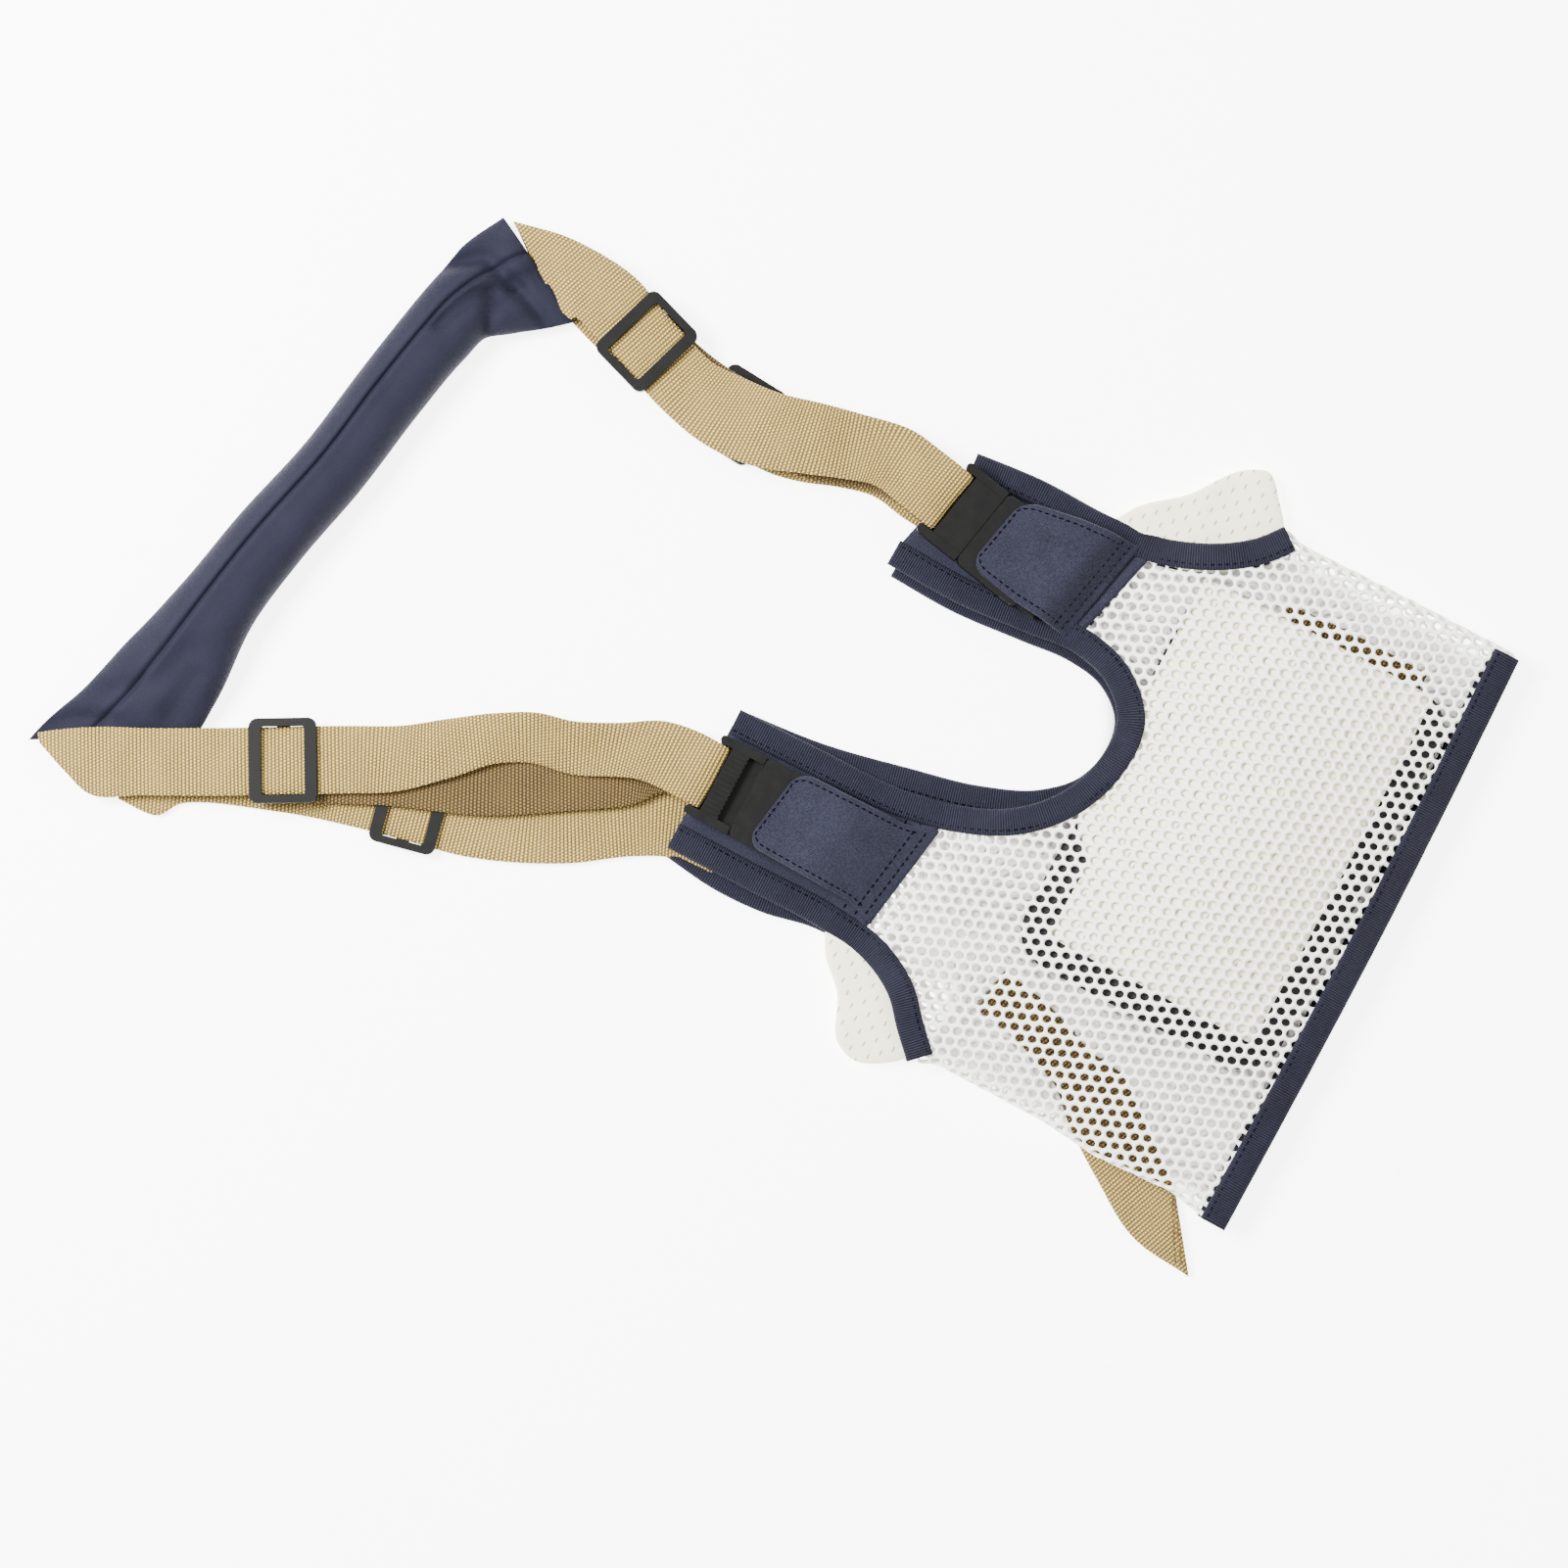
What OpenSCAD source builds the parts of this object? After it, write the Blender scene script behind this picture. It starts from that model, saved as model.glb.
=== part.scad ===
// Arm sling: a padded support harness with a two-layer mesh vest, lying flat.
// The hem faces -Y, the neck pad +Y, and the front layer is uppermost.

/* [Vest] */
// Width of the vest across the hem
vest_w = 292; // [286:1:296]
// Width between the inner edges of the two shoulder tabs
neck_w = 88; // [84:1:92]
// Thickness of the mesh
mesh_t = 2; // [1.6:0.1:2.2]
// Height that the padded chest stands above the flat front layer
chest_rise = 20; // [12:1:24]
// Gap between the layers for the body, measured from the floor to the front layer
layer_gap = 12.2; // [11.8:0.1:13]
// Width of the edge binding
binding_w = 12.5; // [11:0.5:13]
// Thickness of the edge binding, wrapped round the cloth
binding_t = 3.4; // [2.8:0.1:3.6]
// Thickness of the canvas tabs and flaps
canvas_t = 1.8; // [1.4:0.1:2]

/* [Straps] */
// Width of the webbing
web_w = 31; // [29:0.5:32]
// Thickness of the webbing
web_t = 1.6; // [1.2:0.1:1.7]
// Width of the neck pad at its middle
pad_w = 33; // [30:1:36]
// Thickness of the neck pad at its middle
pad_t = 24; // [18:1:26]

/* [Buckles] */
// Width of the side-release buckle
buckle_w = 40; // [39:0.5:42]
// Thickness of the buckle
buckle_t = 10; // [9.6:0.1:10.4]
// Height of the buckle's middle above the floor
buckle_z = 13.2; // [13:0.1:13.6]
// Width of a slider across the strap
slider_w = 39; // [38:0.5:41]
// Length of a slider along the strap
slider_l = 31; // [29:0.5:33]
// Width of a slider's end bars
slider_bar = 5.5; // [4.5:0.5:6]

/* [Hidden] */
$fn = 40;

navy = "#3f4468";
tan = "#d9c79a";
white = "#ecebe6";
cream = "#f0ede2";
black = "#333231";

slack = 0.3;                 // clearance kept between cloth pieces
vest_x = 20;                 // the vest's own centre line
side_l = vest_x - vest_w / 2;
side_r = vest_x + vest_w / 2;
neck_l = vest_x - neck_w / 2;
neck_r = vest_x + neck_w / 2 + 3;
hem_y = -297;                // outer edge of the hem
tab_base = 4.2;              // underside of the front tabs above the floor

// ---------- curves ----------
function at_clamped(p, i) = p[max(0, min(len(p) - 1, i))];
function bend(a, b, c, d, t) = 0.5 * (2 * b + (c - a) * t + (2 * a - 5 * b + 4 * c - d) * t * t
    + (3 * b - a - 3 * c + d) * t * t * t);
// A smooth line through the points, with n steps between neighbours
function smooth_line(p, n = 4) = concat([for (i = [0:len(p) - 2]) for (j = [0:n - 1])
    bend(at_clamped(p, i - 1), p[i], p[i + 1], at_clamped(p, i + 2), j / n)], [p[len(p) - 1]]);
function flat(v) = [v[0], v[1]];
function heading(p, i) = let (d = flat(at_clamped(p, i + 1)) - flat(at_clamped(p, i - 1))) d / norm(d);
function left_of(p, i) = let (d = heading(p, i)) [-d[1], d[0]];
// The line moved sideways by d, to the left of its direction when d is positive
function beside(p, d) = [for (i = [0:len(p) - 1]) flat(p[i]) + d * left_of(p, i)];
function backwards(p) = [for (i = [len(p) - 1:-1:0]) p[i]];
function eased(s) = let (t = max(0, min(1, s))) t * t * (3 - 2 * t);
function hump(s) = abs(s) >= 1 ? 0 : pow(1 - s * s, 2);

// ---------- the front layer's height over the floor ----------
// Left and right sides lie a little skewed, so the rise follows a slanted line.
function skewed(x, y) = y + 0.135 * (x - vest_x);
function front_z(x, y) = tab_base + (layer_gap - tab_base) * eased((-100 - skewed(x, y)) / 35)
    + chest_rise * hump((x - vest_x - 15) / 140) * hump((y + 222) / 88);

// A solid between two height offsets of the front layer, over the plan box given
module layer_solid(x0, x1, y0, y1, low, high, floor_z = -1) {
    nx = ceil((x1 - x0) / 9);
    ny = ceil((y1 - y0) / 9);
    function px(i) = x0 + (x1 - x0) * i / nx;
    function py(j) = y0 + (y1 - y0) * j / ny;
    top = [for (j = [0:ny]) for (i = [0:nx]) [px(i), py(j), front_z(px(i), py(j)) + high]];
    bottom = [for (j = [0:ny]) for (i = [0:nx])
        [px(i), py(j), floor_z < 0 ? front_z(px(i), py(j)) + low : floor_z]];
    row = nx + 1;
    n = row * (ny + 1);
    function cell(a, b, c, d) = [[a, b, c], [a, c, d]];
    upper = [for (j = [0:ny - 1]) for (i = [0:nx - 1]) let (a = j * row + i)
        for (f = cell(a, a + row, a + row + 1, a + 1)) f];
    lower = [for (j = [0:ny - 1]) for (i = [0:nx - 1]) let (a = n + j * row + i)
        for (f = cell(a, a + 1, a + row + 1, a + row)) f];
    south = [for (i = [0:nx - 1]) for (f = cell(i, i + 1, n + i + 1, n + i)) f];
    north = [for (i = [0:nx - 1]) let (a = ny * row + i) for (f = cell(a + 1, a, n + a, n + a + 1)) f];
    west = [for (j = [0:ny - 1]) let (a = j * row) for (f = cell(a + row, a, n + a, n + a + row)) f];
    east = [for (j = [0:ny - 1]) let (a = j * row + nx)
        for (f = cell(a, a + row, n + a + row, n + a)) f];
    polyhedron(concat(top, bottom), concat(upper, lower, south, north, west, east));
}

// ---------- ribbons: webbing and binding ----------
// route: [x, y, z of the middle] and an optional roll in degrees that lifts the left edge.
module ribbon(route, w, t) {
    n = len(route);
    function across(i) = let (l = left_of(route, i), r = len(route[i]) > 3 ? route[i][3] : 0)
        [l[0] * cos(r), l[1] * cos(r), sin(r)];
    function up(i) = let (l = left_of(route, i), r = len(route[i]) > 3 ? route[i][3] : 0)
        [-l[0] * sin(r), -l[1] * sin(r), cos(r)];
    function mid(i) = [route[i][0], route[i][1], route[i][2]];
    ring = [for (i = [0:n - 1]) for (s = [[1, 1], [-1, 1], [-1, -1], [1, -1]])
        mid(i) + across(i) * s[0] * w / 2 + up(i) * s[1] * t / 2];
    sides = [for (i = [0:n - 2]) for (k = [0:3]) let (a = i * 4 + k, b = i * 4 + (k + 1) % 4)
        for (f = [[a, b + 4, b], [a, a + 4, b + 4]]) f];
    last = 4 * (n - 1);
    polyhedron(ring, concat(sides, [[0, 2, 3], [0, 1, 2]],
        [[last, last + 2, last + 1], [last, last + 3, last + 2]]));
}

// ---------- plan lines of the vest ----------
neck_line = smooth_line([[neck_l, 10], [neck_l + 1, -30], [neck_l + 3, -76], [neck_l + 8, -99],
    [neck_l + 20, -124], [neck_l + 37, -139], [neck_l + 57, -146], [neck_l + 76, -145],
    [neck_r - 1, -131], [neck_r + 4, -114], [neck_r + 2, -90], [neck_r - 1, -55], [neck_r, -18]], 4);
arm_line_l = smooth_line([[-96, 10], [-96, -30], [-96, -72], [-99, -94], [-108, -111],
    [-120, -122], [side_l - 5, -133]], 4);
arm_line_r = smooth_line([[132, -31], [135, -62], [135, -100], [138, -128], [146, -148],
    [157, -163], [side_r + 1, -171]], 4);
hem_line = [[side_r - 3, hem_y + 2], [side_l - 4, hem_y]];
side_line_l = [[side_l + 1, -145], [side_l + 1, -160], [side_l + 1, -200], [side_l - 2, -230],
    [side_l, -268], [side_l - 4, -284]];
side_line_r = [[side_r - 1, -184], [side_r, -195], [side_r, -240], [side_r - 1, -284]];
// The back layer lies a little askew under the front one.
back_neck_line = smooth_line([[neck_l, 9], [neck_l + 4, -30], [neck_l + 13, -72],
    [neck_l + 21, -104], [neck_l + 33, -130], [neck_l + 45, -142], [neck_l + 60, -147],
    [neck_l + 76, -145], [neck_r - 3, -131], [neck_r, -114], [neck_r - 2, -90],
    [neck_r - 5, -55], [neck_r - 4, -22]], 4);
back_arm_line_l = smooth_line([[-100, 9], [-103, -18], [-102, -42], [-97, -68], [-99, -94],
    [-108, -111], [-120, -122], [side_l - 5, -133]], 4);

// The whole vest inside its edges, as one plan outline, d inside its bound edges
module vest_plan(neck, arm_l, arm_r, d) {
    polygon(concat(beside(neck, -d), beside(arm_r, -d),
        side_line_r, [hem_line[0] + [0, d], hem_line[1] + [0, d]],
        backwards(side_line_l), backwards(beside(arm_l, d))));
}
// Above these slanted lines the vest is canvas, below them mesh.
module canvas_side_l() polygon([[-140, -81], [0, -102], [0, 40], [-140, 40]]);
module canvas_side_r() polygon([[30, -101.5], [150, -129], [150, 10], [30, 10]]);

// ---------- vest ----------
module front_panel() {
    color(white) union() {
        intersection() {
            layer_solid(-140, 178, -300, -60, 0, mesh_t);
            linear_extrude(80) difference() {
                vest_plan(neck_line, arm_line_l, arm_line_r, binding_w + slack);
                canvas_side_l();
                canvas_side_r();
            }
        }
        side_wall(side_line_l, -1);
        side_wall(side_line_r, 1);
    }
}
// The folded side, from the back layer up to the front layer
module side_wall(line, outward) {
    slit_z = mesh_t + 3.2;
    translate([0, 0, outward < 0 ? slit_z : mesh_t])
        linear_extrude(layer_gap + 0.4 - (outward < 0 ? slit_z : mesh_t))
            polygon(concat(line, backwards(beside(line, outward < 0 ? mesh_t : -mesh_t))));
}
module back_panel() {
    color(white) linear_extrude(mesh_t) difference() {
        vest_plan(back_neck_line, back_arm_line_l, arm_line_r, binding_w + slack);
        canvas_side_l();
        canvas_side_r();
    }
}
module tab_plan(neck, arm_l) {
    vest_plan(neck, arm_l, arm_line_r, binding_w + slack);
}
module front_tab_left() {
    color(navy) intersection() {
        layer_solid(-100, 0, -110, 20, 0, canvas_t);
        linear_extrude(80) intersection() {
            tab_plan(neck_line, arm_line_l);
            translate([0, 0.2]) canvas_side_l();
        }
    }
}
module front_tab_right() {
    color(navy) intersection() {
        layer_solid(60, 150, -140, 0, 0, canvas_t);
        linear_extrude(80) intersection() {
            tab_plan(neck_line, arm_line_l);
            translate([0, 0.2]) canvas_side_r();
        }
    }
}
module back_tab_left() {
    color(navy) linear_extrude(canvas_t + 0.4) intersection() {
        tab_plan(back_neck_line, back_arm_line_l);
        translate([0, 0.2]) canvas_side_l();
    }
}
module back_tab_right() {
    color(navy) linear_extrude(canvas_t + 0.4) intersection() {
        tab_plan(back_neck_line, back_arm_line_l);
        translate([0, 0.2]) canvas_side_r();
    }
}

// Binding: d inside the line, its middle on the front layer
function on_front(line, d) = [for (p = beside(line, d)) [p[0], p[1], front_z(p[0], p[1]) + binding_t / 2]];
module back_binding(line, d) {
    color(navy) linear_extrude(binding_t)
        polygon(concat(beside(line, 0), backwards(beside(line, d))));
}
module neck_binding_front() color(navy) ribbon(on_front(neck_line, -binding_w / 2), binding_w, binding_t);
module neck_binding_back() back_binding(back_neck_line, -binding_w);
module armhole_binding_front_left() {
    color(navy) ribbon(on_front(arm_line_l, binding_w / 2), binding_w, binding_t);
}
module armhole_binding_front_right() {
    color(navy) ribbon(on_front(arm_line_r, -binding_w / 2), binding_w, binding_t);
}
module armhole_binding_back_left() back_binding(back_arm_line_l, binding_w);
module armhole_binding_back_right() back_binding(arm_line_r, -binding_w);
module hem_binding_front() {
    across = [for (i = [0:14]) hem_line[0] + (hem_line[1] - hem_line[0]) * i / 14];
    color(navy) ribbon(on_front(across, -binding_w / 2), binding_w, binding_t);
}
module hem_binding_back() back_binding(hem_line, -binding_w);

// The liner: a thin cream pad under the raised chest, with a dark tape sewn round its edge
liner_box = [-64, -281, 130, -149.5];
edging_w = 13;
module liner_plan(d) {
    difference() {
        translate([liner_box[0] + d + 12, liner_box[1] + d + 12]) minkowski() {
            square([liner_box[2] - liner_box[0] - 2 * d - 24, liner_box[3] - liner_box[1] - 2 * d - 24]);
            circle(r = 12);
        }
        polygon(concat(neck_line, backwards(beside(neck_line, -binding_w - slack - d))));
    }
}
module liner_layer() layer_solid(-70, 138, -290, -144, 0, -slack, layer_gap - 1);
module liner_pad() {
    color(cream) intersection() {
        liner_layer();
        linear_extrude(80) liner_plan(edging_w + slack);
    }
}
module liner_edging() {
    color(black) intersection() {
        liner_layer();
        linear_extrude(80) difference() {
            liner_plan(0);
            liner_plan(edging_w);
        }
    }
}
// The guard lies beside the front binding where the front layer is low, and goes under it below low_y.
module arm_guard(outline, line, inward, low_y) {
    color(cream) translate([0, 0, binding_t + 0.2]) linear_extrude(3.2) difference() {
        polygon(outline);
        intersection() {
            polygon(concat(beside(line, -inward * slack), backwards(beside(line, inward * 25))));
            translate([-200, low_y]) square([400, 200]);
        }
    }
}
module arm_guard_left() {
    arm_guard(smooth_line([[-90, -66], [-105, -77], [-118, -91], [-139, -103], [-141, -110],
        [-136, -124], [-126, -134], [-106, -124], [-92, -104], [-86, -80], [-90, -66]], 3),
        arm_line_l, 1, -102);
}
module arm_guard_right() {
    arm_guard(smooth_line([[128, -98], [144, -108], [160, -126], [184, -146], [187, -153],
        [178, -163], [162, -174], [144, -166], [130, -146], [125, -118], [128, -98]], 3),
        arm_line_r, -1, -132);
}
module inner_strap(line) {
    color(tan) translate([0, 0, mesh_t + slack]) linear_extrude(web_t)
        polygon(concat(beside(line, web_w / 2), backwards(beside(line, -web_w / 2))));
}
// The left one comes out of the side, and is cut off askew above the hem.
module inner_strap_left() {
    intersection() {
        inner_strap(smooth_line([[-84, -152], [-88, -175], [-98, -205], [-118, -245], [-139, -281],
            [-148, -297]], 3));
        linear_extrude(10) polygon([[-60, -219], [-156, -294], [-180, -294], [-180, -140], [-60, -140]]);
    }
}
module inner_strap_right() inner_strap(smooth_line([[122, -190], [124, -215], [124, -262]], 3));

// ---------- neck pad ----------
// Each station: x, y, width, thickness, turn of the cross-section from the path's square, in degrees
pad_stations = smooth_line([[-166, 259, 72, 8, 44], [-150, 254, 64, 12, 34], [-125, 249, 50, 18, 14],
    [-96, 245, pad_w + 4, 23, 4], [-56, 238, pad_w + 2, pad_t, 0], [-14, 228, pad_w, pad_t, 0],
    [30, 221, pad_w, pad_t, 0], [62, 215, pad_w + 2, 22, 0], [82, 207, 40, 17, 0],
    [98, 197, 50, 12, 6], [110, 188, 56, 8, 10]], 3);
pad_sides = 20;
pad_z = 12.2;
module pad_solid(share, trim = 0) {
    p = [for (i = [trim:len(pad_stations) - 1 - trim]) pad_stations[i]];
    n = len(p);
    function across(i) = let (l = left_of(p, i), a = p[i][4])
        [l[0] * cos(a) - l[1] * sin(a), l[0] * sin(a) + l[1] * cos(a)];
    pts = [for (i = [0:n - 1]) for (k = [0:pad_sides - 1])
        let (a = 360 * k / pad_sides, s = across(i), r = p[i][2] / 2 * share,
             h = p[i][3] / 2 * share, mz = 3.8 + (pad_z - 3.8) * p[i][3] / pad_t)
        [p[i][0] + s[0] * r * cos(a), p[i][1] + s[1] * r * cos(a), mz + h * sin(a)]];
    sides = [for (i = [0:n - 2]) for (k = [0:pad_sides - 1])
        let (a = i * pad_sides + k, b = i * pad_sides + (k + 1) % pad_sides)
        for (f = [[a, a + pad_sides, b + pad_sides], [a, b + pad_sides, b]]) f];
    start = [for (k = [1:pad_sides - 2]) [0, k, k + 1]];
    last = (n - 1) * pad_sides;
    end = [for (k = [1:pad_sides - 2]) [last, last + k + 1, last + k]];
    polyhedron(pts, concat(sides, start, end));
}
module neck_pad_cover() {
    color(navy) difference() {
        pad_solid(1);
        pad_solid(0.86, 3);
    }
}
module neck_pad_foam() color("#e8e4d8") pad_solid(0.82, 4);

// ---------- straps ----------
front_route_l = smooth_line([[-189, 268, 11.6], [-172.1, 235.6, 11.6], [-158.5, 211.1, 11.6],
    [-143.5, 184, 11.6], [-129.9, 159.5, 11.6], [-122.6, 146.3, 11.6], [-104, 118, 15, 22],
    [-88, 101, 18, 34], [-79, 84, 16.5, 20], [-69, 62, 13.2, 2], [-61, 47, 13.2],
    [-58.5, 40, 13.2], [-58, 33.8, 13.2]], 4);
return_route_l = smooth_line([[-146, 186, 7.5], [-134, 158, 7.5], [-128, 144, 7.6], [-110, 94, 7.8],
    [-88, 62, 7.8], [-68, 45, 7.8], [-61, 34, 7.8]], 4);
back_route_l = smooth_line([[-178, 238, 3], [-151, 186, 3], [-143.8, 161, 3], [-140.4, 146.4, 3],
    [-135, 123, 3], [-128, 92.8, 3], [-124.6, 78, 3], [-108, 55, 3], [-94, 32, 2],
    [-86, 17.5, 1.2]], 4);
front_route_r = smooth_line([[119.2, 171.2, 11.6], [114.6, 157, 11.6], [105, 127.5, 11.6],
    [96.3, 100.9, 11.6], [92.8, 90, 11.6], [96, 72, 16.6, 6], [99, 54, 18.5, 8], [104, 36, 15.6, 4],
    [109, 20, 13.2], [111.5, 8, 13.2], [111, -2.2, 13.2]], 4);
return_route_r = smooth_line([[104, 126, 7.5], [99, 100, 7.5], [97, 90, 7.6], [97, 60, 7.8],
    [101, 30, 7.8], [106, 10, 7.8], [111, -3, 7.8]], 4);
back_route_r = smooth_line([[117, 170, 3], [108, 143, 3], [98.9, 116, 3], [97.7, 99, 3],
    [96, 75, 3], [93.8, 44.1, 3], [92.8, 30, 3], [96, 4, 2], [101, -22.5, 1.2]], 4);

module strap(route) color(tan) ribbon(route, web_w, web_t);
module front_strap_left() strap(front_route_l);
module front_strap_right() strap(front_route_r);
module front_return_left() strap(return_route_l);
module front_return_right() strap(return_route_r);
module back_strap_left() strap(back_route_l);
module back_strap_right() strap(back_route_r);

// ---------- sliders ----------
// Centre, height of the webbing's middle, and heading towards the vest, in degrees
front_slider_at_l = [-143.5, 184, 11.6, -61];
front_slider_at_r = [105, 127.5, 11.6, -108];
back_slider_at_l = [-135, 123, 3, -77];
back_slider_at_r = [96, 75, 3, -94];
bar_h = 2.2;                 // height of an end bar above the webbing
under_bar = 1.8;             // thickness of the middle bar under the webbing
module rounded(l, w, r) {
    square([l - 2 * r, w], center = true);
    square([l, w - 2 * r], center = true);
    for (x = [-1, 1]) for (y = [-1, 1]) translate([x * (l / 2 - r), y * (w / 2 - r)]) circle(r = r);
}
module slider(at) {
    half = web_t / 2 + slack;
    clear_w = web_w + 2 * slack;
    translate([at[0], at[1], at[2]]) rotate(at[3]) color(black) difference() {
        union() {
            translate([0, 0, -half]) linear_extrude(2 * half + bar_h) difference() {
                rounded(slider_l, slider_w, 4);
                rounded(slider_l - 2 * slider_bar, clear_w, 1.5);
            }
            translate([0, 0, -half - under_bar]) linear_extrude(under_bar) difference() {
                rounded(slider_l - 6, slider_w - 1, 3);
                for (x = [-1, 1]) translate([x * (slider_l / 4 + 1.5), 0])
                    square([slider_l / 2 - 3, clear_w], center = true);
            }
        }
        // the slot that the webbing runs through, under both end bars
        translate([-slider_l, -clear_w / 2, -half]) cube([2 * slider_l, clear_w, 2 * half]);
    }
}
module front_slider_left() slider(front_slider_at_l);
module front_slider_right() slider(front_slider_at_r);
module back_slider_left() slider(back_slider_at_l);
module back_slider_right() slider(back_slider_at_r);

// ---------- side-release buckles ----------
// Local frame: the socket's mouth at y = 0, the plug and its strap towards +y, the tab towards -y.
module left_buckle() translate([-58, -12, buckle_z]) children();
module right_buckle() translate([101.5, -49, buckle_z]) rotate([0, 180, -11]) children();
socket_l = 34;               // length of the socket's body
shell_t = 1.8;               // thickness of the socket's upper and lower plates
bar_r = 2;                   // radius of the bars that webbing loops round
plug_bar_y = 20.5;           // the strap's loop bar on the plug
socket_bar_y = -40;          // the anchor's loop bar on the socket
arm_x = 11.5;                // the latch arms' bending points
arm_y = -4;
module socket() {
    color(black) difference() {
        union() {
            translate([0, -socket_l / 2, -buckle_t / 2]) linear_extrude(buckle_t)
                rounded(buckle_w, socket_l, 3);
            for (s = [-1, 1]) translate([s * (buckle_w / 2 - 4.5) - 2.5, -44, -3]) cube([5, 14, 6]);
            translate([-buckle_w / 2 + 3, socket_bar_y, 0]) rotate([0, 90, 0])
                cylinder(r = bar_r, h = buckle_w - 6);
        }
        // hollow that takes the prongs, open at the mouth
        translate([-buckle_w / 2 + 3, -30, -buckle_t / 2 + shell_t])
            cube([buckle_w - 6, 31, buckle_t - 2 * shell_t]);
        // side windows for the latch arms' finger pads
        translate([-buckle_w, -26, -buckle_t / 2 + shell_t])
            cube([2 * buckle_w, 27, buckle_t - 2 * shell_t]);
    }
}
module plug() {
    rail_x = buckle_w / 2 - 3.6;
    color(black) difference() {
        union() {
            for (s = [-1, 1]) {
                translate([s * (rail_x + 1.6) - 2, 0.4, -3.6]) cube([4, 21, 7.2]);
                translate([s * (rail_x + 1.6), 21.4, -3.6]) cylinder(r = 2, h = 7.2);
            }
            // ribbed bar, with a plain plate under it
            translate([-rail_x, 7.5, -1.2]) cube([2 * rail_x, 9, 4.4]);
            for (i = [-6:6]) translate([i * 2.35 - 0.6, 8, 3.2]) cube([1.2, 8, 0.7]);
            // smooth plate on the other face
            translate([-rail_x, 0.4, -3.2]) cube([2 * rail_x, 16.1, 2.2]);
            translate([-rail_x, plug_bar_y, 0]) rotate([0, 90, 0])
                cylinder(r = bar_r, h = 2 * rail_x);
            // inner crossbar and guide prong
            translate([-rail_x, -5, -2.8]) cube([2 * rail_x, 6, 5.6]);
            translate([-3, -24, -2.2]) cube([6, 20, 4.4]);
            translate([0, -24, -2.2]) cylinder(r = 3, h = 4.4);
        }
        for (s = [-1, 1]) translate([s * arm_x, arm_y, -4]) {
            cylinder(r = 2.4, h = 8);
            translate([-2.4, -6, 0]) cube([4.8, 6, 8]);
        }
        for (s = [-1, 1]) translate([s * (arm_x + 5) - 3.2, -6, -4]) cube([6.4, 6.2, 8]);
    }
}
module latch_arm(s) {
    color(black) translate([0, 0, -2.4]) {
        translate([s * arm_x, arm_y, 0]) cylinder(r = 2.2, h = 4.8);
        linear_extrude(4.8)
            polygon([[s * (arm_x - 2), arm_y], [s * (arm_x + 2.2), arm_y - 0.2],
                [s * (arm_x + 4.5), -9], [s * (buckle_w / 2 - 1.2), -12],
                [s * (buckle_w / 2 - 0.4), -17], [s * (buckle_w / 2 - 1.6), -23],
                [s * (arm_x + 4), -26], [s * (arm_x + 1.6), -26], [s * (arm_x + 2), -18],
                [s * (arm_x - 0.4), -10]]);
    }
}
// The strap's loop round the plug's bar, with its two leaves towards +y
module strap_end() {
    r = bar_r + slack;
    leaf = 24;
    color(tan) translate([-web_w / 2, plug_bar_y, 0]) {
        difference() {
            rotate([0, 90, 0]) cylinder(r = r + web_t, h = web_w);
            translate([-1, 0, 0]) rotate([0, 90, 0]) cylinder(r = r, h = web_w + 2);
            translate([-1, 0, -20]) cube([web_w + 2, 40, 40]);
        }
        for (z = [r, -r - web_t]) translate([0, 0, z]) cube([web_w, leaf, web_t]);
    }
}
// The webbing loop that holds the socket; drawn in the buckle's frame, down = towards the tab
module anchor(down, sewn, w, sideways) {
    r = bar_r + slack;
    drop = buckle_z - tab_base - canvas_t - slack;
    color(navy) translate([sideways, 0, 0]) {
        translate([-w / 2, socket_bar_y, 0]) difference() {
            rotate([0, 90, 0]) cylinder(r = r + web_t, h = w);
            translate([-1, 0, 0]) rotate([0, 90, 0]) cylinder(r = r, h = w + 2);
        }
        translate([-w / 2, socket_bar_y, 0]) rotate([90, 0, 90]) linear_extrude(w)
            polygon([[-3, down * 2.2], [-1, down * 3.7], [-7, down * drop], [-sewn, down * drop],
                [-sewn, down * (drop - web_t)], [-8, down * (drop - web_t)]]);
    }
}
module buckle_plug_left() left_buckle() plug();
module buckle_plug_right() right_buckle() plug();
module buckle_socket_left() left_buckle() socket();
module buckle_socket_right() right_buckle() socket();
module latch_arm_left_a() left_buckle() latch_arm(-1);
module latch_arm_left_b() left_buckle() latch_arm(1);
module latch_arm_right_a() right_buckle() latch_arm(-1);
module latch_arm_right_b() right_buckle() latch_arm(1);
module front_strap_end_left() left_buckle() strap_end();
module front_strap_end_right() right_buckle() strap_end();
module buckle_anchor_left() left_buckle() anchor(-1, 27, 26, 0);
module buckle_anchor_right() right_buckle() anchor(1, 14, 16, -4);

// ---------- flaps over the buckles ----------
// Local frame: middle of the sewn edge at the origin, free edge towards +y. Both ends are cut on
// a slant, the sides run along y.
flap_slant_l = -9;
flap_slant_r = -12;
module flap(length, width, slant, climb) {
    top = buckle_z + buckle_t / 2 + 0.5;
    low = tab_base + canvas_t + 0.5;
    color(navy) intersection() {
        rotate(slant) translate([-width, 0, 0]) rotate([90, 0, 90]) linear_extrude(2 * width)
            polygon([[0, low], [3, low + 0.6], [climb * 0.8, top - 1.6], [climb, top],
                [length, top], [length, top + canvas_t], [climb - 1, top + canvas_t],
                [climb * 0.8 - 1.5, top - 0.2], [2, low + canvas_t + 0.6], [0, low + canvas_t]]);
        translate([-width / 2, -20, 0]) cube([width, length + 40, 60]);
    }
}
module flap_left() translate([-57, -92, 0]) flap(68, 44, flap_slant_l, 36);
module flap_right() translate([102.5, -112, 0]) flap(56, 37, flap_slant_r, 17);

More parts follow.
